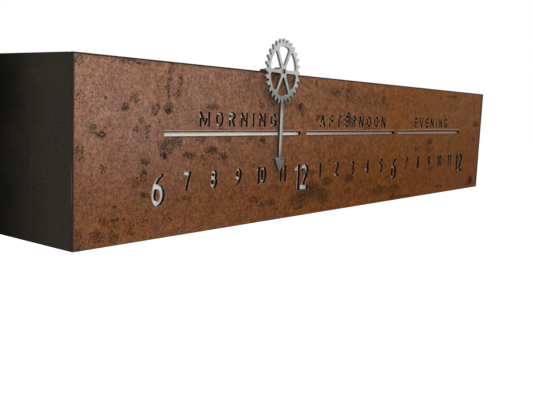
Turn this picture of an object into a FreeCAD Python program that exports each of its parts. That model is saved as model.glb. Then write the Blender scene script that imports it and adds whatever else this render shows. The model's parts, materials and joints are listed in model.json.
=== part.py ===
import FreeCAD, Part
import math
import os

V = FreeCAD.Vector

# A long wall clock. A pointer carried over the top edge of a sheet-metal case slides along a dial
# of eighteen hours, driven from inside by a motor and a lead screw.
# Frame: X along the case to the right, Y into the wall, Z up. The origin is the centre of the
# wall-bolt pattern, on the outer plane of the back sheet.

# Case
case_length = 1080.0
case_height = 203.0
case_depth = 180.0
sheet = 3.0                     # side, top, bottom and back sheets
face_thickness = 4.0
face_return_depth = 8.0
face_edge_radius = 0.8
seam_notch = 2.0                # half width of the notch filed at the seam of face and side
panel_clearance = 0.3           # round the removable back sheet
travel_slot_width = 11.0        # between the face's return and the top sheet

# Dial
hours_shown = 18
first_hour = 6
dial_left_margin = 117.4        # case's left end to the first figure's centre
dial_right_margin = 109.4       # last figure's centre to the case's right end
slot_hours = 6
slot_gap = 15.0                 # between one slot and the next
slot_height = 4.6
slot_rise = 18.9                # slot centre above the case's middle
number_top_drop = 25.5          # top of the figures below the case's middle
small_number_height = 23.0
small_number_width = 12.4
small_stroke = 4.6
large_number_height = 38.0
large_number_width = 20.5
large_stroke = 6.8
digit_gap = 2.0
word_base_rise = 28.0           # foot of the words above the case's middle
word_height = 18.4
word_stroke = 3.5
letter_gap = 10.3

# Backing behind the cut-outs, and its studs
backing_thickness = 1.5
backing_end_margin = 40.0       # from the case's ends
backing_top_margin = 22.1       # above the words
backing_bottom_margin = 12.0    # below the large figures
stud_radius = 2.0
stud_length = 7.0
stud_inset = 8.0                # from the backing's upper and lower edges
stud_columns = 5
stud_end_inset = 55.0
nut_across_flats = 7.0
nut_height = 3.2
hole_clearance = 0.3            # round a screw that passes through a sheet
seat_clearance = 0.05           # round a piece held in a bore
run_clearance = 0.06            # round a piece that turns or slides on another

# Pointer
rest_hours = 4.3                # hours after the dial's first figure
pointer_standoff = 20.0         # front of the pointer to the front of the face
pointer_thickness = 3.5
pointer_turn = 5.0              # degrees that the pointer's face looks to the right
hub_rise = 0.7                  # hub centre above the case's top
tooth_count = 28
tooth_tip_radius = 42.8
tooth_root_radius = 37.8
tooth_tip_width = 3.2
tooth_root_gap = 3.0
tooth_rounding = 0.9
rim_inner_radius = 32.6
hub_radius = 7.8
spoke_count = 6
spoke_width = 4.6
rim_corner_radius = 3.5
hub_corner_radius = 1.4
shaft_width = 7.0
pointer_drop = 134.7            # hub centre to the arrow's tip
arrow_length = 20.0
arrow_width = 25.5
hub_screw_radius = 2.5
hub_screw_head_radius = 3.4
hub_screw_head_height = 1.0
hub_socket_radius = 1.9
boss_radius = 5.4
boss_length = 7.0               # pointer to the end of the strap that carries it
boss_grip = 3.0                 # of the slotted boss over the strap

# Hanger that carries the pointer over the top edge
arm_thickness = 3.0
arm_width = 14.0
arm_bend_radius = 3.5
arm_rise = 1.0                  # underside above the case's top
arm_gap = 5.0                   # behind the face's return
arm_screw_radius = 2.0
arm_screw_head_radius = 3.4
arm_screw_head_height = 2.1
arm_screw_length = 8.0
arm_screw_spacing = 12.0

# Carriage, rods and screw
drive_drop = 56.5               # screw axis below the case's top
drive_setback = 65.0            # screw axis behind the face's front
rod_spacing = 66.0
rod_radius = 5.0
screw_radius = 5.0
screw_lead = 10.0
journal_radius = 4.0
journal_shoulder_gap = 1.0
carriage_length = 60.0
carriage_height = 26.0
carriage_rear_margin = 16.0     # behind the rear rod's axis
carriage_edge_chamfer = 1.5
bush_radius = 9.5
bush_length = 29.0
nut_barrel_radius = 7.0
nut_leads_share = 1.6           # barrel length in leads of the screw
nut_flange_radius = 12.5
nut_flange_thickness = 3.5
nut_screw_circle_radius = 9.8
nut_screw_count = 4
small_screw_radius = 1.5
small_screw_head_radius = 2.4
small_screw_head_height = 1.8
small_screw_length = 9.0

# End plates, bearing and motor
end_plate_thickness = 10.0
end_plate_height = 50.0
end_plate_front_margin = 15.0   # in front of the front rod's axis
end_plate_chamfer = 2.0
right_end_room = 14.0           # carriage to end plate at the last figure
bearing_radius = 11.0
bearing_width = 7.0
bearing_relief_radius = 7.0
retainer_radius = 17.0
retainer_bore_radius = 8.5
retainer_thickness = 2.0
retainer_screw_circle_radius = 14.0
retainer_screw_count = 3
bumper_radius = 8.5
bumper_gap = 4.0                # carriage to bumper at each end of the travel
motor_size = 42.3
motor_length = 40.0
motor_corner_chamfer = 5.0
motor_side_gap = 3.0
motor_pilot_radius = 11.0
motor_pilot_length = 2.0
motor_bolt_spacing = 31.0
motor_shaft_radius = 2.5
motor_shaft_length = 22.0
motor_shaft_inside = 15.0
coupler_radius = 9.5
coupler_length = 22.0
coupler_end_gap = 2.0           # end plate to coupler
coupler_slit = 1.2
plate_screw_radius = 2.5
plate_screw_head_radius = 4.6
plate_screw_length = 18.0
plate_screw_inset = 10.0        # from the end plate's upper and lower edges

# Travel sensors: a flag under the carriage enters a forked sensor at each end
flag_thickness = 1.5
flag_width = 20.0
flag_drop = 16.0
flag_foot = 12.0
flag_setback = 12.0             # flag in front of the carriage's rear face
sensor_length = 20.0
sensor_depth = 13.0
sensor_height = 17.0
sensor_slot_width = 4.5
sensor_slot_depth = 12.0
sensor_bracket_thickness = 2.0
sensor_bracket_foot = 14.0
sensor_screw_cover = 1.0        # over the screw's end, under the slot's floor
flag_tip_gap = 2.5              # above the sensor slot's floor
flag_overlap = 12.0             # how far the flag enters a sensor

# Wall bolts and the fixings of the sheets
wall_bolt_spacing = 406.4
wall_bolt_rise = 120.0
wall_bolt_radius = 3.5
angle_leg = 15.0
angle_thickness = 2.0
angle_end_gap = 20.0
sheet_screw_radius = 2.0
sheet_screw_head_radius = 3.8
sheet_screw_length = 8.0
sheet_screw_columns = 5
sheet_screw_end_inset = 60.0
strap_length = 26.0
strap_width = 22.0
strap_thickness = 2.0
strap_screw_radius = 1.0
strap_screw_head_radius = 1.6
strap_screw_length = 4.0
strap_screw_head_height = 1.8
strap_level_share = 0.62        # of the half height, on the end sheets
bottom_strap_columns = 4

# Control board
board_length = 130.0
board_height = 70.0
board_thickness = 1.6
board_end_gap = 130.0           # board to the case's right end
board_base_level = 28.0         # lower edge above the case's underside
board_hole_inset = 5.0
standoff_radius = 3.5
standoff_length = 15.0
board_chip_size = 14.0
board_chip_height = 2.2
board_module_length = 26.0
board_module_height = 18.0
board_module_depth = 5.0
board_cell_radius = 10.0
board_cell_depth = 4.0
terminal_length = 20.0
terminal_height = 9.0
terminal_depth = 17.0
terminal_count = 4

# Controls and inlet, on the right end
control_level = 57.0            # lower button above the case's underside
button_spacing = 26.0
button_barrel_radius = 6.0
button_barrel_length = 18.0
button_bezel_radius = 8.0
button_bezel_thickness = 2.0
button_radius = 4.5
button_rise = 3.5
button_length = 13.0
button_travel = 2.0
button_floor = 2.5
ring_nut_radius = 8.5
ring_nut_thickness = 2.5
inlet_level = 30.0
inlet_barrel_radius = 5.5
inlet_barrel_length = 20.0
inlet_bezel_radius = 7.5
inlet_socket_radius = 2.75
inlet_socket_depth = 9.5
inlet_pin_radius = 1.0
inlet_pin_length = 8.0

# Leads inside the case
motor_lead_radius = 2.5
lead_radius = 1.8
lead_wall_gap = 6.0             # lead's axis to the sheets it runs along
clip_length = 10.0
clip_wall = 1.5
clip_count = 4
lead_bend_radius = 9.0

# Overrun of every cut
over = 1.0

half_length = case_length / 2
half_height = case_height / 2
front_y = -case_depth
face_back_y = front_y + face_thickness
return_back_y = front_y + face_return_depth
backing_back_y = face_back_y + backing_thickness
back_inner_y = -sheet
inner_x = half_length - sheet
inner_z = half_height - sheet


def level(above_base):
    return above_base - half_height


dial_first_x = -half_length + dial_left_margin
dial_last_x = half_length - dial_right_margin
hour_pitch = (dial_last_x - dial_first_x) / hours_shown
slot_length = slot_hours * hour_pitch - slot_gap
backing_top_z = word_base_rise + word_height + backing_top_margin
backing_bottom_z = -number_top_drop - large_number_height - backing_bottom_margin
rest_x = dial_first_x + rest_hours * hour_pitch
hub_z = half_height + hub_rise
pointer_front_y = front_y - pointer_standoff
pointer_back_y = pointer_front_y + pointer_thickness
boss_back_y = pointer_back_y + boss_length
arm_front_y = return_back_y + arm_gap
arm_back_y = arm_front_y + arm_thickness
arm_bottom_z = half_height + arm_rise
arm_top_z = arm_bottom_z + arm_thickness
top_front_y = return_back_y + travel_slot_width
drive_y = front_y + drive_setback
drive_z = half_height - drive_drop
rod_ys = (drive_y - rod_spacing / 2, drive_y + rod_spacing / 2)
nut_barrel_length = nut_leads_share * screw_lead
carriage_back_y = rod_ys[1] + carriage_rear_margin
carriage_top_z = drive_z + carriage_height / 2
carriage_bottom_z = drive_z - carriage_height / 2
left_plate_outer_x = -inner_x + motor_side_gap + motor_length
left_plate_inner_x = left_plate_outer_x + end_plate_thickness
right_plate_inner_x = dial_last_x + carriage_length / 2 + right_end_room
right_plate_outer_x = right_plate_inner_x + end_plate_thickness
plate_front_y = rod_ys[0] - end_plate_front_margin
coupler_start_x = left_plate_inner_x + coupler_end_gap
coupler_end_x = coupler_start_x + coupler_length
board_center_x = half_length - board_end_gap - board_length / 2
shaft_end_x = left_plate_outer_x + motor_shaft_length


# Plain solids, placed by their low corner or by the start of their axis
def block(x0, y0, z0, x1, y1, z1):
    return Part.makeBox(x1 - x0, y1 - y0, z1 - z0, V(x0, y0, z0))


def rod_x(radius, x0, x1, y, z):
    return Part.makeCylinder(radius, x1 - x0, V(x0, y, z), V(1, 0, 0))


def rod_y(radius, x, y0, y1, z):
    return Part.makeCylinder(radius, y1 - y0, V(x, y0, z), V(0, 1, 0))


def rod_z(radius, x, y, z0, z1):
    return Part.makeCylinder(radius, z1 - z0, V(x, y, z0), V(0, 0, 1))


def cone_y(radius0, radius1, x, y0, y1, z):
    return Part.makeCone(radius0, radius1, y1 - y0, V(x, y0, z), V(0, 1, 0))


def prism_y(points, y0, y1):
    outline = [V(x, y0, z) for x, z in points]
    face = Part.Face(Part.makePolygon(outline + outline[:1]))
    return face.extrude(V(0, y1 - y0, 0))


def prism_x(points, x0, x1):
    outline = [V(x0, y, z) for y, z in points]
    face = Part.Face(Part.makePolygon(outline + outline[:1]))
    return face.extrude(V(x1 - x0, 0, 0))


def hexagon_y(across_flats, x, y0, y1, z):
    reach = across_flats / 2 / math.cos(math.pi / 6)
    corners = [(x + reach * math.cos(k * math.pi / 3), z + reach * math.sin(k * math.pi / 3))
               for k in range(6)]
    return prism_y(corners, y0, y1)


def spread(count, low, high):
    return [low + (high - low) * k / (count - 1) for k in range(count)]


def joined(solids):
    first = solids[0]
    return first.multiFuse(solids[1:]).removeSplitter() if len(solids) > 1 else first


def edges_along(shape, axis, keep=lambda edge: True):
    found = []
    for edge in shape.Edges:
        if len(edge.Vertexes) == 2 and isinstance(edge.Curve, (Part.Line, Part.LineSegment)):
            step = edge.Vertexes[1].Point - edge.Vertexes[0].Point
            if abs(step.normalize().dot(axis)) > math.cos(math.pi / 180) and keep(edge):
                found.append(edge)
    return found


# Outlines of the figures and letters, drawn in the face's plane and cut through it
def plank(x0, z0, x1, z1, width):
    run = math.hypot(x1 - x0, z1 - z0)
    side_x = -(z1 - z0) / run * width / 2
    side_z = (x1 - x0) / run * width / 2
    corners = [(x0 + side_x, z0 + side_z), (x0 - side_x, z0 - side_z),
               (x1 - side_x, z1 - side_z), (x1 + side_x, z1 + side_z)]
    return prism_y(corners, front_y - over, face_back_y + over)


def oval(x, z, half_width, half_rise):
    center = V(x, front_y - over, z)
    across = V(half_width, 0, 0)
    upward = V(0, 0, half_rise)
    longer, shorter = (across, upward) if half_width > half_rise else (upward, across)
    if half_width == half_rise:
        curve = Part.Circle(center, V(0, 1, 0), half_width)
    else:
        curve = Part.Ellipse(center + longer, center + shorter, center)
    face = Part.Face(Part.Wire([curve.toShape()]))
    return face.extrude(V(0, face_back_y + over - center.y, 0))


def oval_ring(x, z, half_width, half_rise, stroke):
    return oval(x, z, half_width, half_rise).cut(oval(x, z, half_width - stroke, half_rise - stroke))


def wedge(x, z, reach, start, end):
    steps = max(2, math.ceil((end - start) / 60) + 1)
    rim = [(x + reach * math.cos(math.radians(a)), z + reach * math.sin(math.radians(a)))
           for a in spread(steps, start, end)]
    return prism_y([(x, z)] + rim, front_y - over, face_back_y + over)


def oval_arc(x, z, half_width, half_rise, stroke, start, end):
    ring = oval_ring(x, z, half_width, half_rise, stroke)
    return ring.common(wedge(x, z, 3 * max(half_width, half_rise), start, end))


# Each figure or letter: x and z of its lower left corner, width w, height h and stroke s
def figure_0(x, z, w, h, s):
    return [oval_ring(x + w / 2, z + h / 2, w / 2, h / 2, s)]


def figure_1(x, z, w, h, s):
    stem_x = x + w - s / 2
    return [plank(stem_x, z, stem_x, z + h, s),
            plank(x + s * 0.3, z + h * 0.76, stem_x, z + h - s * 0.45, s * 0.8)]


def figure_2(x, z, w, h, s):
    bowl = w / 2
    top = z + h - bowl
    first, last = -30, 180
    return [oval_arc(x + bowl, top, bowl, bowl, s, first, last),
            plank(x + w - s * 0.75, top - bowl * 0.35, x + s * 0.6, z + s * 0.5, s),
            plank(x, z + s / 2, x + w, z + s / 2, s)]


def figure_3(x, z, w, h, s):
    upper = h * 0.46 / 2 + s / 4
    lower = h * 0.54 / 2 + s / 4
    quarter, opening = 90, 160
    return [oval_arc(x + w / 2, z + h - upper, w / 2 * 0.94, upper, s, -quarter, opening),
            oval_arc(x + w / 2, z + lower, w / 2, lower, s, -opening, quarter)]


def figure_4(x, z, w, h, s):
    stem_x = x + w * 0.7
    bar_z = z + h * 0.3
    return [plank(stem_x, z, stem_x, z + h, s),
            plank(x, bar_z, x + w, bar_z, s),
            plank(stem_x, z + h - s * 0.6, x + s * 0.5, bar_z, s * 0.9)]


def figure_5(x, z, w, h, s):
    bowl = h * 0.62 / 2
    first, last = -155, 128
    return [plank(x + w * 0.1, z + h - s / 2, x + w * 0.95, z + h - s / 2, s),
            plank(x + w * 0.1 + s / 2, z + h - s / 2, x + s / 2, z + bowl * 1.35, s),
            oval_arc(x + w / 2, z + bowl, w / 2, bowl, s, first, last)]


def figure_6(x, z, w, h, s):
    bowl = h * 0.67 / 2
    crest = h - bowl
    first, last = 96, 180
    counter = oval(x + w / 2 - s * 0.1, z + bowl, w / 2 - s, bowl - s * 0.85)
    tail = oval(x + w, z + bowl, w, crest).cut(oval(x + w, z + bowl, w - s, crest - s * 0.5))
    return [oval(x + w / 2, z + bowl, w / 2, bowl).cut(counter),
            tail.common(wedge(x + w, z + bowl, 3 * crest, first, last))]


def figure_7(x, z, w, h, s):
    return [plank(x, z + h - s / 2, x + w, z + h - s / 2, s),
            plank(x + w - s * 0.6, z + h - s * 0.5, x + w * 0.32, z, s)]


def figure_8(x, z, w, h, s):
    upper = h * 0.46 / 2 + s / 4
    lower = h * 0.54 / 2 + s / 4
    return [oval_ring(x + w / 2, z + h - upper, w / 2 * 0.9, upper, s),
            oval_ring(x + w / 2, z + lower, w / 2, lower, s)]


def figure_9(x, z, w, h, s):
    middle = V(x + w / 2, 0, z + h / 2)
    turned = [solid.copy() for solid in figure_6(x, z, w, h, s)]
    for solid in turned:
        solid.rotate(middle, V(0, 1, 0), 180)
    return turned


def letter_a(x, z, w, h, s):
    top = z + h - s * 0.1
    return [plank(x + s * 0.45, z, x + w / 2, top, s), plank(x + w - s * 0.45, z, x + w / 2, top, s),
            plank(x + w * 0.22, z + h * 0.3, x + w * 0.78, z + h * 0.3, s * 0.8)]


def letter_e(x, z, w, h, s):
    bars = [plank(x, z + rise, x + w, z + rise, s) for rise in (s / 2, h / 2, h - s / 2)]
    return bars + [plank(x + s / 2, z, x + s / 2, z + h, s)]


def letter_f(x, z, w, h, s):
    bars = [plank(x, z + rise, x + w, z + rise, s) for rise in (h * 0.52, h - s / 2)]
    return bars + [plank(x + s / 2, z, x + s / 2, z + h, s)]


def letter_g(x, z, w, h, s):
    first, last = 40, 330
    return [oval_arc(x + w / 2, z + h / 2, w / 2, h / 2, s, first, last),
            plank(x + w * 0.5, z + h * 0.42, x + w, z + h * 0.42, s * 0.85),
            plank(x + w - s / 2, z + h * 0.1, x + w - s / 2, z + h * 0.42, s)]


def letter_i(x, z, w, h, s):
    return [plank(x + w / 2, z, x + w / 2, z + h, s)]


def letter_m(x, z, w, h, s):
    low = z + h * 0.12
    return [plank(x + s / 2, z, x + s / 2, z + h, s), plank(x + w - s / 2, z, x + w - s / 2, z + h, s),
            plank(x + s * 0.6, z + h - s * 0.4, x + w / 2, low, s * 0.9),
            plank(x + w - s * 0.6, z + h - s * 0.4, x + w / 2, low, s * 0.9)]


def letter_n(x, z, w, h, s):
    return [plank(x + s / 2, z, x + s / 2, z + h, s), plank(x + w - s / 2, z, x + w - s / 2, z + h, s),
            plank(x + s * 0.6, z + h - s * 0.3, x + w - s * 0.6, z + s * 0.3, s)]


def letter_o(x, z, w, h, s):
    return [oval_ring(x + w / 2, z + h / 2, w / 2, h / 2, s)]


def letter_r(x, z, w, h, s):
    bowl = h * 0.54 / 2
    middle = z + h - bowl
    bend = x + w * 0.45
    quarter = 90
    return [plank(x + s / 2, z, x + s / 2, z + h, s),
            plank(x, z + h - s / 2, bend, z + h - s / 2, s),
            plank(x, middle - bowl + s / 2, bend, middle - bowl + s / 2, s),
            oval_arc(bend, middle, x + w - bend, bowl, s, -quarter, quarter),
            plank(x + w * 0.5, z + h * 0.5, x + w - s * 0.5, z, s)]


def letter_t(x, z, w, h, s):
    return [plank(x, z + h - s / 2, x + w, z + h - s / 2, s), plank(x + w / 2, z, x + w / 2, z + h, s)]


def letter_v(x, z, w, h, s):
    foot = z + s * 0.1
    return [plank(x + s * 0.45, z + h, x + w / 2, foot, s),
            plank(x + w - s * 0.45, z + h, x + w / 2, foot, s)]


figures = {"0": figure_0, "1": figure_1, "2": figure_2, "3": figure_3, "4": figure_4,
           "5": figure_5, "6": figure_6, "7": figure_7, "8": figure_8, "9": figure_9}
letters = {"A": letter_a, "E": letter_e, "F": letter_f, "G": letter_g, "I": letter_i, "M": letter_m,
           "N": letter_n, "O": letter_o, "R": letter_r, "T": letter_t, "V": letter_v}
letter_width_shares = {"A": 0.86, "E": 0.6, "F": 0.58, "G": 0.76, "I": 0.19, "M": 1.02,
                       "N": 0.76, "O": 0.78, "R": 0.7, "T": 0.7, "V": 0.84}
one_width_share = 0.66          # a 1 is narrower than the other figures


def number_cut(hour, large):
    height = large_number_height if large else small_number_height
    width = large_number_width if large else small_number_width
    stroke = large_stroke if large else small_stroke
    text = str((hour - 1) % 12 + 1)
    widths = [width * one_width_share if digit == "1" else width for digit in text]
    x = dial_first_x + (hour - first_hour) * hour_pitch - (sum(widths) + digit_gap * (len(text) - 1)) / 2
    solids = []
    for digit, digit_width in zip(text, widths):
        solids += figures[digit](x, -number_top_drop - height, digit_width, height, stroke)
        x += digit_width + digit_gap
    return solids


def word_cut(word, center_x):
    widths = [letter_width_shares[letter] * word_height for letter in word]
    x = center_x - (sum(widths) + letter_gap * (len(word) - 1)) / 2
    solids = []
    for letter, width in zip(word, widths):
        solids += letters[letter](x, word_base_rise, width, word_height, word_stroke)
        x += width + letter_gap
    return solids


def slot_cut(center_x):
    low = slot_rise - slot_height / 2
    return block(center_x - slot_length / 2, front_y - over, low,
                 center_x + slot_length / 2, face_back_y + over, low + slot_height)


def dial_cuts():
    cuts = []
    for part, word in enumerate(("MORNING", "AFTERNOON", "EVENING")):
        center_x = dial_first_x + (part + 0.5) * slot_hours * hour_pitch
        cuts.append(slot_cut(center_x))
        cuts += word_cut(word, center_x)
    for count in range(hours_shown + 1):
        cuts += number_cut(first_hour + count, count % slot_hours == 0)
    return cuts


# Face tray with its cut-outs, and the counters that the cutting leaves loose
def face_tray():
    tray = block(-half_length, front_y, -half_height, half_length, return_back_y, half_height)
    front_edges = [edge for edge in tray.Edges
                   if all(abs(v.Y - front_y) < over / 10 for v in edge.Vertexes)]
    tray = tray.makeFillet(face_edge_radius, front_edges)
    tray = tray.cut(block(-inner_x, face_back_y, -inner_z, inner_x, return_back_y + over, inner_z))
    tray = tray.cut(Part.makeCompound(seam_notches()))
    return tray.cut(joined(dial_cuts()))


def seam_notches():
    front, back = return_back_y - seam_notch, return_back_y + seam_notch
    points = [(front, half_height + over), (front, half_height),
              (return_back_y, half_height - seam_notch), (back, half_height), (back, half_height + over)]
    return [prism_x(points, -half_length - over, -inner_x),
            prism_x(points, inner_x, half_length + over)]


def face_pieces():
    solids = sorted(face_tray().Solids, key=lambda solid: solid.Volume)
    return solids[-1], Part.makeCompound(solids[:-1])


def stud_places():
    columns = spread(stud_columns, -half_length + backing_end_margin + stud_end_inset,
                     half_length - backing_end_margin - stud_end_inset)
    rows = (backing_bottom_z + stud_inset, backing_top_z - stud_inset)
    return [(x, z) for x in columns for z in rows]


def backing_panel():
    panel = block(-half_length + backing_end_margin, face_back_y, backing_bottom_z,
                  half_length - backing_end_margin, backing_back_y, backing_top_z)
    holes = [rod_y(stud_radius + hole_clearance, x, face_back_y - over, backing_back_y + over, z)
             for x, z in stud_places()]
    return panel.cut(Part.makeCompound(holes))


def face_studs():
    return Part.makeCompound([rod_y(stud_radius, x, face_back_y, face_back_y + stud_length, z)
                              for x, z in stud_places()])


def face_nuts():
    nuts = []
    for x, z in stud_places():
        nut = hexagon_y(nut_across_flats, x, backing_back_y, backing_back_y + nut_height, z)
        nuts.append(nut.cut(rod_y(stud_radius + seat_clearance, x, backing_back_y - over,
                                  backing_back_y + nut_height + over, z)))
    return Part.makeCompound(nuts)


# End, top and bottom sheets
def side_panel(sign):
    x0, x1 = sorted((sign * inner_x, sign * half_length))
    panel = block(x0, return_back_y, -half_height, x1, 0, half_height)
    panel = panel.cut(Part.makeCompound(seam_notches()))
    return panel.cut(Part.makeCompound(control_holes())) if sign > 0 else panel


def top_panel():
    return block(-inner_x, top_front_y, inner_z, inner_x, 0, half_height)


def bottom_panel():
    return block(-inner_x, return_back_y, -half_height, inner_x, 0, -inner_z)


# Removable back sheet, its angles and its countersunk screws
def wall_bolt_places():
    return [(sx * wall_bolt_spacing / 2, sz * wall_bolt_rise / 2) for sx in (-1, 1) for sz in (-1, 1)]


def plate_screw_places():
    offset = end_plate_height / 2 - plate_screw_inset
    middles = ((left_plate_outer_x + left_plate_inner_x) / 2,
               (right_plate_inner_x + right_plate_outer_x) / 2)
    return [(x, drive_z + side * offset) for x in middles for side in (-1, 1)]


def angle_screw_places():
    end_x = inner_x - sheet_screw_end_inset
    inset = angle_leg / 2 + angle_thickness / 2
    row = inner_z - inset
    places = [(x, z) for x in spread(sheet_screw_columns, -end_x, end_x) for z in (-row, row)]
    return places + [(-inner_x + inset, 0), (inner_x - inset, 0)]


def countersunk(x, z, shank_radius, head_radius, length, growth):
    head_depth = head_radius - shank_radius
    head = cone_y(shank_radius + growth, head_radius + growth, x, -head_depth, 0, z)
    shank = rod_y(shank_radius + growth, x, -length, -head_depth, z)
    return head.fuse(shank)


def back_screw_set(growth):
    small = [countersunk(x, z, sheet_screw_radius, sheet_screw_head_radius, sheet_screw_length, growth)
             for x, z in angle_screw_places()]
    large = [countersunk(x, z, plate_screw_radius, plate_screw_head_radius, plate_screw_length, growth)
             for x, z in plate_screw_places()]
    return small, large


def back_panel():
    reach_x = inner_x - panel_clearance
    reach_z = inner_z - panel_clearance
    panel = block(-reach_x, back_inner_y, -reach_z, reach_x, 0, reach_z)
    holes = [rod_y(wall_bolt_radius, x, back_inner_y - over, over, z) for x, z in wall_bolt_places()]
    holes += [rod_y(standoff_screw_hole(), x, back_inner_y - over, over, z) for x, z in board_corners()]
    small, large = back_screw_set(seat_clearance)
    return panel.cut(Part.makeCompound(holes)).cut(Part.makeCompound(small + large))


def angle_profile(y, edge, inward):
    foot = edge + inward * angle_leg
    web = edge + inward * angle_thickness
    return [(y, edge), (y, foot), (y - angle_thickness, foot), (y - angle_thickness, web),
            (y - angle_leg, web), (y - angle_leg, edge)]


def back_angles():
    run = inner_x - angle_end_gap
    rails = [prism_x(angle_profile(back_inner_y, side * inner_z, -side), -run, run) for side in (-1, 1)]
    rise = inner_z - angle_end_gap
    for side in (-1, 1):
        profile = [V(x, y, -rise) for y, x in angle_profile(back_inner_y, side * inner_x, -side)]
        face = Part.Face(Part.makePolygon(profile + profile[:1]))
        rails.append(face.extrude(V(0, 0, 2 * rise)))
    small, _ = back_screw_set(seat_clearance)
    return Part.makeCompound([rail.cut(Part.makeCompound(small)) for rail in rails])


def back_screws():
    return Part.makeCompound(back_screw_set(0)[0])


def end_plate_screws():
    return Part.makeCompound(back_screw_set(0)[1])


# Straps inside that hold the face tray's returns to the end and bottom sheets
def strap_places():
    strap_z = half_height * strap_level_share
    ends = [(side * inner_x, -side, row) for side in (-1, 1) for row in (-strap_z, strap_z)]
    end_x = inner_x - sheet_screw_end_inset
    return ends, spread(bottom_strap_columns, -end_x, end_x)


def strap_ys():
    middle = return_back_y - (face_return_depth - face_thickness) / 2
    return middle, return_back_y + strap_length * 0.6


def strap_start_y():
    return face_back_y + panel_clearance


def end_straps_and_screws():
    ends, columns = strap_places()
    straps, screws = [], []
    thread = strap_screw_length - strap_thickness
    for edge, inward, z in ends:
        x0, x1 = sorted((edge, edge + inward * strap_thickness))
        strap = block(x0, strap_start_y(), z - strap_width / 2, x1, strap_start_y() + strap_length,
                      z + strap_width / 2)
        for y in strap_ys():
            head_low, head_high = sorted((edge + inward * strap_thickness,
                                          edge + inward * (strap_thickness + strap_screw_head_height)))
            shank_low, shank_high = sorted((edge - inward * thread, edge + inward * strap_thickness))
            shank = rod_x(strap_screw_radius, shank_low, shank_high, y, z)
            screws.append(shank.fuse(rod_x(strap_screw_head_radius, head_low, head_high, y, z)))
        straps.append(strap)
    for x in columns:
        floor = -inner_z
        straps.append(block(x - strap_width / 2, strap_start_y(), floor, x + strap_width / 2,
                            strap_start_y() + strap_length, floor + strap_thickness))
        for y in strap_ys():
            shank = rod_z(strap_screw_radius, x, y, floor - thread, floor + strap_thickness)
            head = rod_z(strap_screw_head_radius, x, y, floor + strap_thickness,
                         floor + strap_thickness + strap_screw_head_height)
            screws.append(shank.fuse(head))
    return straps, screws


# Rods, end plates, bearing and bumpers
def guide_rods():
    return Part.makeCompound([rod_x(rod_radius, left_plate_outer_x, right_plate_outer_x, y, drive_z)
                              for y in rod_ys])


def end_plate(x0, x1):
    z0 = drive_z - end_plate_height / 2
    plate = block(x0, plate_front_y, z0, x1, back_inner_y, z0 + end_plate_height)
    plate = plate.makeChamfer(end_plate_chamfer, edges_along(plate, V(1, 0, 0)))
    bores = [rod_x(rod_radius + seat_clearance, x0 - over, x1 + over, y, drive_z) for y in rod_ys]
    return plate.cut(Part.makeCompound(bores + [end_plate_screws()])).cut(bracket_screws())


def motor_bolt_places():
    reach = motor_bolt_spacing / 2
    return [(drive_y + sy * reach, drive_z + sz * reach) for sy in (-1, 1) for sz in (-1, 1)]


def motor_bolts():
    bolts = []
    for y, z in motor_bolt_places():
        shank = rod_x(small_screw_radius, left_plate_outer_x - small_screw_length / 2,
                      left_plate_inner_x, y, z)
        head = rod_x(small_screw_head_radius, left_plate_inner_x,
                     left_plate_inner_x + small_screw_head_height, y, z)
        bolts.append(shank.fuse(head))
    return Part.makeCompound(bolts)


def end_plate_left():
    pilot = rod_x(motor_pilot_radius + seat_clearance, left_plate_outer_x - over,
                  left_plate_inner_x + over, drive_y, drive_z)
    return end_plate(left_plate_outer_x, left_plate_inner_x).cut(pilot).cut(motor_bolts())


def retainer_screws():
    screws = []
    face_x = right_plate_outer_x + retainer_thickness
    for k in range(retainer_screw_count):
        turn = 2 * math.pi * k / retainer_screw_count
        y = drive_y + retainer_screw_circle_radius * math.cos(turn)
        z = drive_z + retainer_screw_circle_radius * math.sin(turn)
        shank = rod_x(small_screw_radius, face_x - small_screw_length * 0.8, face_x, y, z)
        head = rod_x(small_screw_head_radius, face_x, face_x + small_screw_head_height, y, z)
        screws.append(shank.fuse(head))
    return Part.makeCompound(screws)


def end_plate_right():
    pocket = rod_x(bearing_radius + seat_clearance, right_plate_outer_x - bearing_width,
                   right_plate_outer_x + over, drive_y, drive_z)
    relief = rod_x(bearing_relief_radius, right_plate_inner_x - over, right_plate_outer_x,
                   drive_y, drive_z)
    plate = end_plate(right_plate_inner_x, right_plate_outer_x)
    return plate.cut(pocket).cut(relief).cut(retainer_screws())


def screw_bearing():
    x0 = right_plate_outer_x - bearing_width
    ring = rod_x(bearing_radius, x0, right_plate_outer_x, drive_y, drive_z)
    return ring.cut(rod_x(journal_radius + run_clearance, x0 - over, right_plate_outer_x + over,
                          drive_y, drive_z))


def bearing_retainer():
    x0 = right_plate_outer_x
    plate = rod_x(retainer_radius, x0, x0 + retainer_thickness, drive_y, drive_z)
    bore = rod_x(retainer_bore_radius, x0 - over, x0 + retainer_thickness + over, drive_y, drive_z)
    return plate.cut(bore).cut(retainer_screws())


def end_bumpers():
    left_end = dial_first_x - carriage_length / 2 - bumper_gap
    right_end = dial_last_x + carriage_length / 2 + bumper_gap
    rings = []
    for x0, x1 in ((left_plate_inner_x, left_end), (right_end, right_plate_inner_x)):
        for y in rod_ys:
            ring = rod_x(bumper_radius, x0, x1, y, drive_z)
            rings.append(ring.cut(rod_x(rod_radius + seat_clearance, x0 - over, x1 + over, y, drive_z)))
    return Part.makeCompound(rings)


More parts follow.
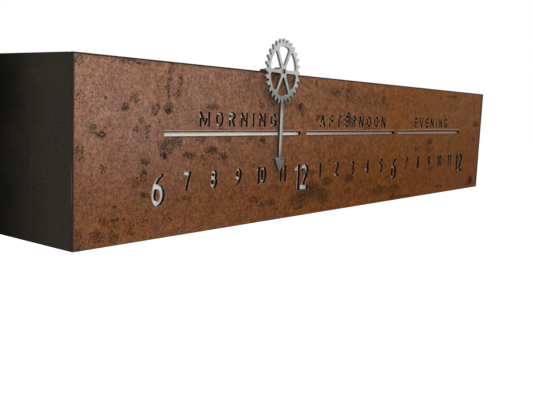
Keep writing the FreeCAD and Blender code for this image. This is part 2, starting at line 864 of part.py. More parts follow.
# Motor and its shaft, coupler and lead screw
def motor_body():
    half = motor_size / 2
    x0 = left_plate_outer_x - motor_length
    body = block(x0, drive_y - half, drive_z - half, left_plate_outer_x, drive_y + half, drive_z + half)
    body = body.makeChamfer(motor_corner_chamfer, edges_along(body, V(1, 0, 0)))
    pilot = rod_x(motor_pilot_radius, left_plate_outer_x, left_plate_outer_x + motor_pilot_length,
                  drive_y, drive_z)
    bore = rod_x(motor_shaft_radius + run_clearance, left_plate_outer_x - motor_shaft_inside - over,
                 left_plate_outer_x + motor_pilot_length + over, drive_y, drive_z)
    return body.fuse(pilot).cut(bore).cut(motor_bolts())


def motor_shaft():
    return rod_x(motor_shaft_radius, left_plate_outer_x - motor_shaft_inside, shaft_end_x,
                 drive_y, drive_z)


def screw_coupler():
    body = rod_x(coupler_radius, coupler_start_x, coupler_end_x, drive_y, drive_z)
    shaft_bore = rod_x(motor_shaft_radius + seat_clearance, coupler_start_x - over, shaft_end_x,
                       drive_y, drive_z)
    screw_bore = rod_x(screw_radius + seat_clearance, shaft_end_x, coupler_end_x + over,
                       drive_y, drive_z)
    slit = block(coupler_start_x - over, drive_y - coupler_slit / 2, drive_z,
                 coupler_end_x + over, drive_y + coupler_slit / 2, drive_z + coupler_radius + over)
    return body.cut(Part.makeCompound([shaft_bore, screw_bore])).cut(slit)


def lead_screw():
    shoulder_x = right_plate_inner_x - journal_shoulder_gap
    thread = rod_x(screw_radius, shaft_end_x + journal_shoulder_gap, shoulder_x, drive_y, drive_z)
    journal = rod_x(journal_radius, shoulder_x, right_plate_outer_x + retainer_thickness,
                    drive_y, drive_z)
    return thread.fuse(journal)


# Carriage with its bushes and nut
def carriage_block():
    x0, x1 = rest_x - carriage_length / 2, rest_x + carriage_length / 2
    body = block(x0, arm_back_y, carriage_bottom_z, x1, carriage_back_y, carriage_top_z)
    body = body.makeChamfer(carriage_edge_chamfer,
                            edges_along(body, V(1, 0, 0), lambda edge: edge.CenterOfMass.y > drive_y))
    bores = [rod_x(bush_radius + seat_clearance, x0 - over, x1 + over, y, drive_z) for y in rod_ys]
    bores.append(rod_x(nut_barrel_radius + seat_clearance, x0 - over, x1 + over, drive_y, drive_z))
    cutters = bores + [hanger_screws(), nut_screws(), flag_screws()]
    for cutter in cutters:
        body = body.cut(cutter)
    return body


def guide_bushes():
    bushes = []
    reach = carriage_length / 2
    for y in rod_ys:
        for x0 in (rest_x - reach, rest_x + reach - bush_length):
            bush = rod_x(bush_radius, x0, x0 + bush_length, y, drive_z)
            bushes.append(bush.cut(rod_x(rod_radius + run_clearance, x0 - over, x0 + bush_length + over,
                                         y, drive_z)))
    return Part.makeCompound(bushes)


def nut_screws():
    face_x = rest_x + carriage_length / 2 + nut_flange_thickness
    screws = []
    for k in range(nut_screw_count):
        turn = math.pi / 4 + 2 * math.pi * k / nut_screw_count
        y = drive_y + nut_screw_circle_radius * math.cos(turn)
        z = drive_z + nut_screw_circle_radius * math.sin(turn)
        shank = rod_x(small_screw_radius, face_x - small_screw_length, face_x, y, z)
        head = rod_x(small_screw_head_radius, face_x, face_x + small_screw_head_height, y, z)
        screws.append(shank.fuse(head))
    return Part.makeCompound(screws)


def lead_nut():
    face_x = rest_x + carriage_length / 2
    flange = rod_x(nut_flange_radius, face_x, face_x + nut_flange_thickness, drive_y, drive_z)
    barrel = rod_x(nut_barrel_radius, face_x - nut_barrel_length, face_x, drive_y, drive_z)
    bore = rod_x(screw_radius + run_clearance, face_x - nut_barrel_length - over,
                 face_x + nut_flange_thickness + over, drive_y, drive_z)
    return flange.fuse(barrel).cut(bore).cut(nut_screws())


# Hanger: one strap from the carriage up through the slot and over the face
def hanger_arm():
    outline = [(arm_front_y, carriage_bottom_z), (arm_back_y, carriage_bottom_z),
               (arm_back_y, arm_top_z), (boss_back_y, arm_top_z),
               (boss_back_y, arm_bottom_z), (arm_front_y, arm_bottom_z)]
    strap = prism_x(outline, rest_x - arm_width / 2, rest_x + arm_width / 2)
    outer = edges_along(strap, V(1, 0, 0), lambda edge: edge.CenterOfMass.y > arm_front_y + over
                        and edge.CenterOfMass.z > arm_bottom_z)
    return strap.makeFillet(arm_bend_radius, outer).cut(hanger_screws())


def hanger_screws():
    screws = []
    for side in (-1, 1):
        z = drive_z + side * arm_screw_spacing / 2
        shank = rod_y(arm_screw_radius, rest_x, arm_front_y, arm_front_y + arm_screw_length, z)
        head = rod_y(arm_screw_head_radius, rest_x, arm_front_y - arm_screw_head_height, arm_front_y, z)
        screws.append(shank.fuse(head))
    return Part.makeCompound(screws)


# The pointer, its boss and its screw are turned together about the hub, on the plate's front
def turned(shape):
    shape.rotate(V(rest_x, pointer_front_y, hub_z), V(0, 0, 1), pointer_turn)
    return shape


def pointer_boss():
    boss = rod_y(boss_radius, rest_x, pointer_back_y, boss_back_y + boss_grip, hub_z)
    return turned(boss.cut(hub_screw_blank())).cut(hanger_arm())


def hub_screw_blank():
    shank = rod_y(hub_screw_radius, rest_x, pointer_front_y, boss_back_y - arm_thickness / 2, hub_z)
    head = rod_y(hub_screw_head_radius, rest_x, pointer_front_y - hub_screw_head_height,
                 pointer_front_y, hub_z)
    return head.fuse(shank)


def hub_screw():
    socket = hexagon_y(2 * hub_socket_radius, rest_x, pointer_front_y - hub_screw_head_height - over,
                       pointer_front_y + hub_screw_head_height / 2, hub_z)
    return turned(hub_screw_blank().cut(socket))


# Pointer: a toothed wheel, its shaft and arrowhead, cut from one plate
def polar(radius, angle):
    return V(rest_x + radius * math.cos(angle), pointer_front_y, hub_z + radius * math.sin(angle))


def angle_across(offset, radius):
    return math.asin(offset / radius)


def toothed_disc():
    pitch = 2 * math.pi / tooth_count
    tip = angle_across(tooth_tip_width / 2, tooth_tip_radius)
    root = pitch / 2 - angle_across(tooth_root_gap / 2, tooth_root_radius)
    edges = []
    for k in range(tooth_count):
        middle = k * pitch
        low_left = polar(tooth_root_radius, middle + root)
        high_left = polar(tooth_tip_radius - tooth_rounding, middle + tip)
        high_right = polar(tooth_tip_radius - tooth_rounding, middle - tip)
        low_right = polar(tooth_root_radius, middle - root)
        next_right = polar(tooth_root_radius, middle + pitch - root)
        edges += [Part.LineSegment(low_right, high_right).toShape(),
                  Part.Arc(high_right, polar(tooth_tip_radius, middle), high_left).toShape(),
                  Part.LineSegment(high_left, low_left).toShape(),
                  Part.Arc(low_left, polar(tooth_root_radius - tooth_rounding, middle + pitch / 2),
                           next_right).toShape()]
    return Part.Face(Part.Wire(edges)).extrude(V(0, pointer_thickness, 0))


def spoke_window(k):
    start = 2 * math.pi * k / spoke_count
    half = math.pi / spoke_count
    offset = spoke_width / 2
    inner = angle_across(offset, hub_radius)
    outer = angle_across(offset, rim_inner_radius)
    corners = [polar(hub_radius, start + inner), polar(rim_inner_radius, start + outer),
               polar(rim_inner_radius, start + 2 * half - outer),
               polar(hub_radius, start + 2 * half - inner)]
    edges = [Part.LineSegment(corners[0], corners[1]).toShape(),
             Part.Arc(corners[1], polar(rim_inner_radius, start + half), corners[2]).toShape(),
             Part.LineSegment(corners[2], corners[3]).toShape(),
             Part.Arc(corners[3], polar(hub_radius, start + half), corners[0]).toShape()]
    window = Part.Face(Part.Wire(edges)).extrude(V(0, pointer_thickness, 0))
    center = V(rest_x, 0, hub_z)

    def distance(edge):
        return (V(edge.CenterOfMass.x, 0, edge.CenterOfMass.z) - center).Length

    middle_radius = (rim_inner_radius + hub_radius) / 2
    upright = edges_along(window, V(0, 1, 0))
    window = window.makeFillet(rim_corner_radius, [e for e in upright if distance(e) > middle_radius])
    upright = edges_along(window, V(0, 1, 0), lambda edge: distance(edge) < hub_radius + over / 10)
    return window.makeFillet(hub_corner_radius, upright)


def pointer():
    wheel = toothed_disc().cut(Part.makeCompound([spoke_window(k) for k in range(spoke_count)]))
    tip_z = hub_z - pointer_drop
    shaft = block(rest_x - shaft_width / 2, pointer_front_y, tip_z + arrow_length - over,
                  rest_x + shaft_width / 2, pointer_back_y, hub_z - tooth_root_radius + over)
    arrow = prism_y([(rest_x, tip_z), (rest_x + arrow_width / 2, tip_z + arrow_length),
                     (rest_x - arrow_width / 2, tip_z + arrow_length)], pointer_front_y, pointer_back_y)
    return turned(joined([wheel, shaft, arrow]).cut(hub_screw_blank()))


# Travel flag and its two forked sensors
def flag_y():
    return carriage_back_y - flag_setback


def travel_flag():
    y0 = flag_y() - flag_thickness / 2
    x0, x1 = rest_x - flag_width / 2, rest_x + flag_width / 2
    foot = block(x0, y0 - flag_foot, carriage_bottom_z - flag_thickness, x1, y0, carriage_bottom_z)
    blade = block(x0, y0, carriage_bottom_z - flag_drop, x1, y0 + flag_thickness, carriage_bottom_z)
    return foot.fuse(blade).removeSplitter().cut(flag_screws())


def flag_screws():
    y = flag_y() - flag_thickness / 2 - flag_foot / 2
    under = carriage_bottom_z - flag_thickness
    screws = []
    for side in (-1, 1):
        x = rest_x + side * flag_width / 4
        shank = rod_z(small_screw_radius, x, y, under, under + small_screw_length / 3)
        head = rod_z(small_screw_head_radius, x, y, under - small_screw_head_height, under)
        screws.append(shank.fuse(head))
    return Part.makeCompound(screws)


def sensor_spans():
    left = dial_first_x - flag_width / 2 + flag_overlap - sensor_length
    right = dial_last_x + flag_width / 2 - flag_overlap
    return [(left, left_plate_inner_x, 1), (right, right_plate_inner_x, -1)]


def sensor_floor_z():
    return carriage_bottom_z - flag_drop - flag_tip_gap


def sensor_base_z():
    return sensor_floor_z() - (sensor_height - sensor_slot_depth)


def travel_sensors():
    sensors = []
    for x0, _, _ in sensor_spans():
        body = block(x0, flag_y() - sensor_depth / 2, sensor_base_z(),
                     x0 + sensor_length, flag_y() + sensor_depth / 2, sensor_base_z() + sensor_height)
        slot = block(x0 - over, flag_y() - sensor_slot_width / 2, sensor_floor_z(),
                     x0 + sensor_length + over, flag_y() + sensor_slot_width / 2,
                     sensor_base_z() + sensor_height + over)
        sensors.append(body.cut(slot))
    return Part.makeCompound(sensors).cut(sensor_screws())


def sensor_brackets():
    brackets = []
    plate_low_z = drive_z - end_plate_height / 2 + end_plate_chamfer
    for x0, plate_x, away in sensor_spans():
        far_x = x0 + sensor_length if away > 0 else x0
        tongue_top = sensor_base_z()
        tongue_low = tongue_top - sensor_bracket_thickness
        foot_x = plate_x + away * sensor_bracket_thickness
        xs = sorted((plate_x, far_x))
        foot_xs = sorted((plate_x, foot_x))
        y0, y1 = flag_y() - sensor_depth / 2, flag_y() + sensor_depth / 2
        tongue = block(xs[0], y0, tongue_low, xs[1], y1, tongue_top)
        foot = block(foot_xs[0], y0, tongue_low, foot_xs[1], y1, plate_low_z + sensor_bracket_foot)
        brackets.append(tongue.fuse(foot).removeSplitter())
    return Part.makeCompound(brackets).cut(sensor_screws()).cut(bracket_screws())


def sensor_screws():
    screws = []
    under = sensor_base_z() - sensor_bracket_thickness
    for x0, _, _ in sensor_spans():
        x = x0 + sensor_length / 2
        shank = rod_z(small_screw_radius, x, flag_y(), under, sensor_floor_z() - sensor_screw_cover)
        head = rod_z(small_screw_head_radius, x, flag_y(), under - small_screw_head_height, under)
        screws.append(shank.fuse(head))
    return Part.makeCompound(screws)


def bracket_screws():
    screws = []
    z = drive_z - end_plate_height / 2 + end_plate_chamfer + sensor_bracket_foot / 2
    for _, plate_x, away in sensor_spans():
        face_x = plate_x + away * sensor_bracket_thickness
        low_x, high_x = sorted((plate_x - away * small_screw_length / 2, face_x))
        head_low_x, head_high_x = sorted((face_x, face_x + away * small_screw_head_height))
        shank = rod_x(small_screw_radius, low_x, high_x, flag_y(), z)
        head = rod_x(small_screw_head_radius, head_low_x, head_high_x, flag_y(), z)
        screws.append(shank.fuse(head))
    return Part.makeCompound(screws)


# Control board on its standoffs
def board_base_z():
    return level(board_base_level)


def board_corners():
    reach = board_length / 2 - board_hole_inset
    rows = (board_base_z() + board_hole_inset, board_base_z() + board_height - board_hole_inset)
    return [(board_center_x + side * reach, z) for side in (-1, 1) for z in rows]


def standoff_screw_hole():
    return small_screw_radius + seat_clearance


def board_back_y():
    return back_inner_y - standoff_length


def board_front_y():
    return board_back_y() - board_thickness


entry_y = -(sheet + standoff_length + board_thickness + terminal_depth / 2)
lead_z = -inner_z + lead_wall_gap


def board_standoffs():
    posts = []
    for x, z in board_corners():
        post = rod_y(standoff_radius, x, board_back_y(), back_inner_y, z)
        stem = rod_y(small_screw_radius, x, back_inner_y, 0, z)
        posts.append(post.fuse(stem))
    return Part.makeCompound(posts).cut(board_screws())


def board_screws():
    screws = []
    for x, z in board_corners():
        shank = rod_y(small_screw_radius, x, board_front_y(), board_back_y() + standoff_length / 2, z)
        head = rod_y(small_screw_head_radius, x, board_front_y() - small_screw_head_height,
                     board_front_y(), z)
        screws.append(shank.fuse(head))
    return Part.makeCompound(screws)


def control_board():
    half = board_length / 2
    plate = block(board_center_x - half, board_front_y(), board_base_z(),
                  board_center_x + half, board_back_y(), board_base_z() + board_height)
    return plate.cut(board_screws())


def board_parts():
    y1 = board_front_y()
    middle_z = board_base_z() + board_height / 2
    half_chip = board_chip_size / 2
    chip = block(board_center_x - half_chip, y1 - board_chip_height, middle_z - half_chip,
                 board_center_x + half_chip, y1, middle_z + half_chip)
    module_x = board_center_x + board_length / 4 - board_module_length / 2
    module = block(module_x, y1 - board_module_depth, middle_z - board_module_height / 2,
                   module_x + board_module_length, y1, middle_z + board_module_height / 2)
    cell_x = board_center_x - board_length / 4
    cell = rod_y(board_cell_radius, cell_x, y1 - board_cell_depth, y1, middle_z)
    return Part.makeCompound([chip, module, cell])


def terminal_xs():
    reach = board_length / 2 - terminal_length
    return spread(terminal_count, board_center_x - reach, board_center_x + reach)


def board_terminals():
    half = terminal_length / 2
    return Part.makeCompound([block(x - half, board_front_y() - terminal_depth, board_base_z(),
                                    x + half, board_front_y(), board_base_z() + terminal_height)
                              for x in terminal_xs()])


# Buttons and power inlet in the right end sheet
def button_zs():
    return [level(control_level), level(control_level) + button_spacing]


def inlet_place():
    return entry_y, level(inlet_level)


def control_holes():
    y, z = inlet_place()
    holes = [rod_x(inlet_barrel_radius, inner_x - over, half_length + over, y, z)]
    holes += [rod_x(button_barrel_radius, inner_x - over, half_length + over, entry_y, row)
              for row in button_zs()]
    return holes


def button_hollow(z):
    x1 = half_length + button_bezel_thickness
    x0 = x1 + button_rise - button_length - button_travel - button_floor
    return rod_x(button_radius + 2 * run_clearance, x0, x1 + over, entry_y, z)


def button_barrels():
    barrels = []
    for z in button_zs():
        bezel = rod_x(button_bezel_radius, half_length, half_length + button_bezel_thickness,
                      entry_y, z)
        barrel = rod_x(button_barrel_radius, half_length - button_barrel_length, half_length,
                       entry_y, z)
        barrels.append(barrel.fuse(bezel).cut(button_hollow(z)))
    return Part.makeCompound(barrels)


def button(z):
    x1 = half_length + button_bezel_thickness + button_rise
    cap = rod_x(button_radius, x1 - button_length, x1, entry_y, z)
    rim = [edge for edge in cap.Edges if abs(edge.CenterOfMass.x - x1) < over / 10]
    return cap.makeFillet(face_edge_radius, rim)


def ring_nuts():
    nuts = []
    y, z = inlet_place()
    button_rows = [(button_barrel_radius, row) for row in button_zs()]
    for radius, row in [(inlet_barrel_radius, z)] + button_rows:
        nut = rod_x(ring_nut_radius, inner_x - ring_nut_thickness, inner_x, y, row)
        nuts.append(nut.cut(rod_x(radius, inner_x - ring_nut_thickness - over, inner_x + over, y, row)))
    return Part.makeCompound(nuts)


def power_inlet():
    y, z = inlet_place()
    x1 = half_length + button_bezel_thickness
    bezel = rod_x(inlet_bezel_radius, half_length, x1, y, z)
    barrel = rod_x(inlet_barrel_radius, half_length - inlet_barrel_length, half_length, y, z)
    socket = rod_x(inlet_socket_radius, x1 - inlet_socket_depth, x1 + over, y, z)
    floor_x = x1 - inlet_socket_depth
    pin = rod_x(inlet_pin_radius, floor_x - over, floor_x + inlet_pin_length, y, z)
    return barrel.fuse(bezel).cut(socket).fuse(pin)


# Leads: straight runs joined by tangent arcs, laid along the case's lower rear corner
def lead(points, radius):
    edges = []
    start = points[0]
    for before, corner, after in zip(points, points[1:], points[2:]):
        back = (before - corner).normalize()
        ahead = (after - corner).normalize()
        half_angle = back.getAngle(ahead) / 2
        near = corner + back * (lead_bend_radius / math.tan(half_angle))
        far = corner + ahead * (lead_bend_radius / math.tan(half_angle))
        inward = (back + ahead).normalize()
        middle = corner + inward * (lead_bend_radius / math.sin(half_angle) - lead_bend_radius)
        edges += [Part.LineSegment(start, near).toShape(), Part.Arc(near, middle, far).toShape()]
        start = far
    edges.append(Part.LineSegment(start, points[-1]).toShape())
    section = Part.Wire([Part.makeCircle(radius, points[0], (points[1] - points[0]).normalize())])
    return Part.Wire(edges).makePipeShell([section], True, False)


def motor_lead_points():
    x0 = left_plate_outer_x - motor_length / 2
    end_x = terminal_xs()[0]
    return [V(x0, drive_y, drive_z - motor_size / 2), V(x0, drive_y, lead_z), V(x0, entry_y, lead_z),
            V(end_x, entry_y, lead_z), V(end_x, entry_y, board_base_z())]


def power_lead_points():
    x0 = half_length - inlet_barrel_length
    turn_x = x0 - 2 * lead_bend_radius
    end_x = terminal_xs()[2]
    return [V(x0, entry_y, level(inlet_level)), V(turn_x, entry_y, level(inlet_level)),
            V(turn_x, entry_y, lead_z), V(end_x, entry_y, lead_z), V(end_x, entry_y, board_base_z())]


def button_lead_points():
    x0 = half_length - button_barrel_length
    lower, upper = button_zs()
    turn_x = x0 - 4 * lead_bend_radius
    end_x = terminal_xs()[3]
    middle_z = board_base_z() + terminal_height / 2
    return [[V(x0, entry_y, lower), V(turn_x, entry_y, lower), V(turn_x, entry_y, middle_z),
             V(end_x + terminal_length / 2, entry_y, middle_z)],
            [V(x0, entry_y, upper), V(end_x, entry_y, upper),
             V(end_x, entry_y, board_base_z() + terminal_height)]]


def lead_clips():
    low = -inner_z
    top = lead_z + motor_lead_radius + clip_wall
    half = motor_lead_radius + clip_wall
    clips = []
    last_x = terminal_xs()[0] - half_length / clip_count
    for x in spread(clip_count, left_plate_outer_x, last_x):
        clip = block(x, entry_y - half, low, x + clip_length, entry_y + half, top)
        bore = rod_x(motor_lead_radius + seat_clearance, x - over, x + clip_length + over,
                     entry_y, lead_z)
        clips.append(clip.cut(bore))
    return Part.makeCompound(clips)


def build():
    face, islands = face_pieces()
    straps, strap_screws = end_straps_and_screws()
    strap_screws = Part.makeCompound(strap_screws)
    fitted = {"face_plate": face, "side_panel_left": side_panel(-1), "side_panel_right": side_panel(1),
              "bottom_panel": bottom_panel(), "face_straps": Part.makeCompound(straps)}
    pieces = {name: shape.cut(strap_screws) for name, shape in fitted.items()}
    pieces["dial_counters"] = islands
    lower_button, upper_button = button_zs()
    pieces.update({
        "face_strap_screws": strap_screws, "backing_panel": backing_panel(), "face_studs": face_studs(),
        "face_nuts": face_nuts(), "top_panel": top_panel(), "back_panel": back_panel(),
        "back_angles": back_angles(), "back_screws": back_screws(),
        "end_plate_screws": end_plate_screws(),
        "guide_rods": guide_rods(), "end_plate_left": end_plate_left(),
        "end_plate_right": end_plate_right(),
        "screw_bearing": screw_bearing(), "bearing_retainer": bearing_retainer(),
        "retainer_screws": retainer_screws(), "end_bumpers": end_bumpers(), "motor_body": motor_body(),
        "motor_bolts": motor_bolts(), "motor_shaft": motor_shaft(), "screw_coupler": screw_coupler(),
        "lead_screw": lead_screw(), "carriage_block": carriage_block(), "guide_bushes": guide_bushes(),
        "lead_nut": lead_nut(), "nut_screws": nut_screws(), "hanger_arm": hanger_arm(),
        "hanger_screws": hanger_screws(), "pointer_boss": pointer_boss(), "pointer": pointer(),
        "hub_screw": hub_screw(), "travel_flag": travel_flag(), "flag_screws": flag_screws(),
        "travel_sensors": travel_sensors(), "sensor_brackets": sensor_brackets(),
        "sensor_screws": sensor_screws(), "bracket_screws": bracket_screws(),
        "control_board": control_board(), "board_parts": board_parts(),
        "board_terminals": board_terminals(), "board_standoffs": board_standoffs(),
        "board_screws": board_screws(), "button_barrels": button_barrels(), "ring_nuts": ring_nuts(),
        "button_forward": button(upper_button), "button_backward": button(lower_button),
        "power_inlet": power_inlet(), "motor_lead": lead(motor_lead_points(), motor_lead_radius),
        "power_lead": lead(power_lead_points(), lead_radius),
        "button_leads": Part.makeCompound([lead(points, lead_radius)
                                           for points in button_lead_points()]),
        "lead_clips": lead_clips()})
    return pieces


os.makedirs("parts", exist_ok=True)
for name, shape in build().items():
    solids = shape.Solids
    shape = solids[0] if len(solids) == 1 else Part.makeCompound(solids)
    shape.exportStep(f"parts/{name}.step")
    box = shape.BoundBox
    print(f"{name:20s} solids {len(solids):3d} valid {shape.isValid()} volume {shape.Volume:11.1f} "
          f"x {box.XMin:8.2f} {box.XMax:8.2f} y {box.YMin:8.2f} {box.YMax:8.2f} "
          f"z {box.ZMin:8.2f} {box.ZMax:8.2f}")
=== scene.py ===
import json
import math

import bmesh
import bpy
from mathutils import Matrix, Vector


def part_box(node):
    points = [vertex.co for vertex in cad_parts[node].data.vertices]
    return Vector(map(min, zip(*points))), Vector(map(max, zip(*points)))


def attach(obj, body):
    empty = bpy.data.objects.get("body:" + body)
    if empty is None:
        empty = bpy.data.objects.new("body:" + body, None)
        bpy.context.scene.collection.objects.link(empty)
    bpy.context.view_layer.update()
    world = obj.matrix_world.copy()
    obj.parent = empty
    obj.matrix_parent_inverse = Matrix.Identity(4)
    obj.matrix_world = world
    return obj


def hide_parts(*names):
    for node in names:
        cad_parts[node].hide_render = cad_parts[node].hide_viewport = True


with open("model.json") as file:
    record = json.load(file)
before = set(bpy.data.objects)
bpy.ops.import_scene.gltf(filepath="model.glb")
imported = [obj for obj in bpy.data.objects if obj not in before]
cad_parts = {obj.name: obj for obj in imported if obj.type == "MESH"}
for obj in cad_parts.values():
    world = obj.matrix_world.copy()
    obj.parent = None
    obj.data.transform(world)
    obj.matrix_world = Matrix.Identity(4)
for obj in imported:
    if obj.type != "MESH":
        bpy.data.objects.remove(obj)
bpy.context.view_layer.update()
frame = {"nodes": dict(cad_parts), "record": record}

nodes = frame["nodes"]
print("frame loaded:", len(nodes), "nodes")

faceLow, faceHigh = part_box("face_plate")
pointerLow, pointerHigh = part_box("pointer")


# Camera, from the face's lower left front corner; every function below takes its piece's settings as s
camera = {
    "fromCorner": (-0.44256, -0.59011, 0.15586),
    "right": (0.61534349, -0.78722846, 0.04029567),
    "up": (0.07788598, 0.1115908, 0.99069736),
    "lens": 47.756,
    "sensor": 36.0,
    "clip": (0.01, 100.0),
}


def makeCamera(s):
    data = bpy.data.cameras.new("camera")
    data.lens = s["lens"]
    data.sensor_width = s["sensor"]
    data.clip_start, data.clip_end = s["clip"]
    obj = bpy.data.objects.new("camera", data)
    bpy.context.scene.collection.objects.link(obj)
    right, up = Vector(s["right"]), Vector(s["up"])
    turn = Matrix((right, up, right.cross(up))).transposed().to_4x4()
    obj.matrix_world = Matrix.Translation(faceLow + Vector(s["fromCorner"])) @ turn
    bpy.context.scene.camera = obj


makeCamera(camera)
print("camera placed")


# Node helpers, for materials, their groups and the geometry trees
def add(tree, kind, **values):
    node = tree.nodes.new(kind)
    for key, value in values.items():
        setattr(node, key, value)
    return node


def feed(tree, socket, value):
    if isinstance(value, (int, float)):
        socket.default_value = value
    elif isinstance(value, tuple):
        socket.default_value = (*value, 1.0) if len(socket.default_value) == 4 else value
    else:
        tree.links.new(value, socket)


def newMaterial(name):
    mat = bpy.data.materials.new(name)
    mat.use_nodes = True
    tree = mat.node_tree
    tree.nodes.clear()
    out = add(tree, "ShaderNodeOutputMaterial")
    bsdf = add(tree, "ShaderNodeBsdfPrincipled")
    tree.links.new(bsdf.outputs[0], out.inputs[0])
    return mat, tree, bsdf


def newGroup(name, inputs, outputs):
    group = bpy.data.node_groups.new(name, "ShaderNodeTree")
    for label, kind, value in inputs:
        socket = group.interface.new_socket(label, in_out="INPUT", socket_type="NodeSocket" + kind)
        socket.default_value = value
    for label, kind in outputs:
        group.interface.new_socket(label, in_out="OUTPUT", socket_type="NodeSocket" + kind)
    return group, add(group, "NodeGroupInput").outputs, add(group, "NodeGroupOutput").inputs


def place(tree, group, **values):
    node = add(tree, "ShaderNodeGroup", node_tree=group)
    for label, value in values.items():
        feed(tree, node.inputs[label], value)
    return node.outputs


def position(tree, scale=(1.0, 1.0, 1.0), shift=(0.0, 0.0, 0.0)):
    where = add(tree, "ShaderNodeTexCoord")
    move = add(tree, "ShaderNodeMapping")
    move.inputs["Location"].default_value = shift
    move.inputs["Scale"].default_value = scale
    tree.links.new(where.outputs["Object"], move.inputs[0])
    return move.outputs[0]


def axes(tree, vector):
    split = add(tree, "ShaderNodeSeparateXYZ")
    tree.links.new(vector, split.inputs[0])
    return split.outputs


def noise(tree, vector, scale, detail=4.0, rough=0.55, twist=0.0, color=False):
    node = add(tree, "ShaderNodeTexNoise")
    feed(tree, node.inputs["Scale"], scale)
    node.inputs["Detail"].default_value = detail
    node.inputs["Roughness"].default_value = rough
    node.inputs["Distortion"].default_value = twist
    tree.links.new(vector, node.inputs["Vector"])
    return node.outputs[1 if color else 0]


def remap(tree, value, low, high, toLow=0.0, toHigh=1.0):
    node = add(tree, "ShaderNodeMapRange", interpolation_type="SMOOTHSTEP")
    for label, entry in (("Value", value), ("From Min", low), ("From Max", high),
                         ("To Min", toLow), ("To Max", toHigh)):
        feed(tree, node.inputs[label], entry)
    return node.outputs[0]


def linear(tree, value, low, high):
    node = add(tree, "ShaderNodeMapRange")
    for label, entry in (("Value", value), ("From Min", low), ("From Max", high)):
        feed(tree, node.inputs[label], entry)
    return node.outputs[0]


def maths(tree, operation, first, second=0.0):
    node = add(tree, "ShaderNodeMath", operation=operation)
    feed(tree, node.inputs[0], first)
    feed(tree, node.inputs[1], second)
    return node.outputs[0]


def plus(tree, first, second):
    return maths(tree, "ADD", first, second)


def minus(tree, first, second):
    return maths(tree, "SUBTRACT", first, second)


def times(tree, first, second):
    return maths(tree, "MULTIPLY", first, second)


def larger(tree, first, second):
    return maths(tree, "MAXIMUM", first, second)


def vectorMaths(tree, operation, first, second=(0.0, 0.0, 0.0)):
    node = add(tree, "ShaderNodeVectorMath", operation=operation)
    feed(tree, node.inputs[0], first)
    feed(tree, node.inputs[1], second)
    return node.outputs["Value" if operation in ("LENGTH", "DOT_PRODUCT") else "Vector"]


def between(tree, value, low, high, soft):
    rising = remap(tree, value, low, low + soft)
    return times(tree, rising, remap(tree, value, high, high - soft))


def fromEdge(tree, value, edge, fade, depth=1.0):
    return remap(tree, value, edge + fade[0], edge + fade[1], 0.0, depth)


def patches(tree, where, texture, level, amount=(0.0, 1.0)):
    return remap(tree, noise(tree, where, *texture), *level, *amount)


def drift(tree, where, texture):
    return vectorMaths(tree, "SUBTRACT", noise(tree, where, *texture, color=True), (0.5, 0.5, 0.5))


def mixColor(tree, amount, first, second, blend="MIX"):
    node = add(tree, "ShaderNodeMix", data_type="RGBA", blend_type=blend)
    feed(tree, node.inputs[0], amount)
    feed(tree, node.inputs[6], first)
    feed(tree, node.inputs[7], second)
    return node.outputs[2]


def tinted(tree, base, tint, amount=1.0):
    return mixColor(tree, amount, base, tint, "MULTIPLY")


def dimmed(color, share):
    return tuple(share * part for part in color)


def ramp(tree, value, stops):
    node = add(tree, "ShaderNodeValToRGB")
    bar = node.color_ramp.elements
    while len(bar) < len(stops):
        bar.new(0.5)
    for element, (at, color) in zip(bar, stops):
        element.position = at
        element.color = (*color, 1.0)
    tree.links.new(value, node.inputs[0])
    return node.outputs[0]


def surface(tree, bsdf, base, metallic, rough, height, relief):
    for label, value in (("Base Color", base), ("Metallic", metallic), ("Roughness", rough)):
        feed(tree, bsdf.inputs[label], value)
    bump = add(tree, "ShaderNodeBump")
    bump.inputs["Distance"].default_value, bump.inputs["Strength"].default_value = relief
    tree.links.new(height, bump.inputs["Height"])
    tree.links.new(bump.outputs[0], bsdf.inputs["Normal"])


# Effects that several finishes share. A texture is a noise's scale, detail, roughness and twist, or what
# follows the scale; a level is where its mask starts and where it is full
effects = {
    "bevelSamples": 6,
    "edgeTurn": (0.995, 0.86),  # cosine between plain and rounded normal
    "edgeGaps": (3.0, 0.6),
    "edgeLevel": (0.32, 0.62),
    "stainFade": (1.12, 0.45),  # shares of the stain's size
    "fine": (2.0, 0.6),
    "fineLevel": (0.3, 0.7),
    "spotScale": 1.1,
    "spots": (2.0, 0.5),
    "spotLevel": (0.82, 0.87),
    "crowd": (3.0, 0.6),
    "crowdShare": 0.30,
    "areaShare": 0.17,
    "largeScale": 0.42,
    "large": (3.0, 0.6),
    "largeAreaShare": 0.08,
    "largeLevel": (0.69, 0.74),
    "strokes": (6.0, 0.7),
    "strokeLevel": (0.3, 0.7),
    "cloud": (30.0, 4.0, 0.6, 0.4),
    "cloudLevel": (0.35, 0.7),
}
origin = (0.0, 0.0, 0.0)


# Edge mask from a rounded normal: real wear on most finishes, a painted highlight on the copper's cut-out
# lips
def makeEdgeWearAndHighlight(s):
    group, given, result = newGroup("edgeWearAndHighlight", (("Radius", "Float", 0.001), ("Breakup", "Float", 120.0)),
                                    (("WearAndHighlight", "Float"),))
    rounded = add(group, "ShaderNodeBevel", samples=s["bevelSamples"])
    group.links.new(given["Radius"], rounded.inputs["Radius"])
    plain = add(group, "ShaderNodeNewGeometry")
    facing = vectorMaths(group, "DOT_PRODUCT", rounded.outputs[0], plain.outputs["Normal"])
    edge = remap(group, facing, *s["edgeTurn"])
    broken = patches(group, position(group), (given["Breakup"], *s["edgeGaps"]), s["edgeLevel"])
    group.links.new(times(group, edge, broken), result["WearAndHighlight"])
    return group


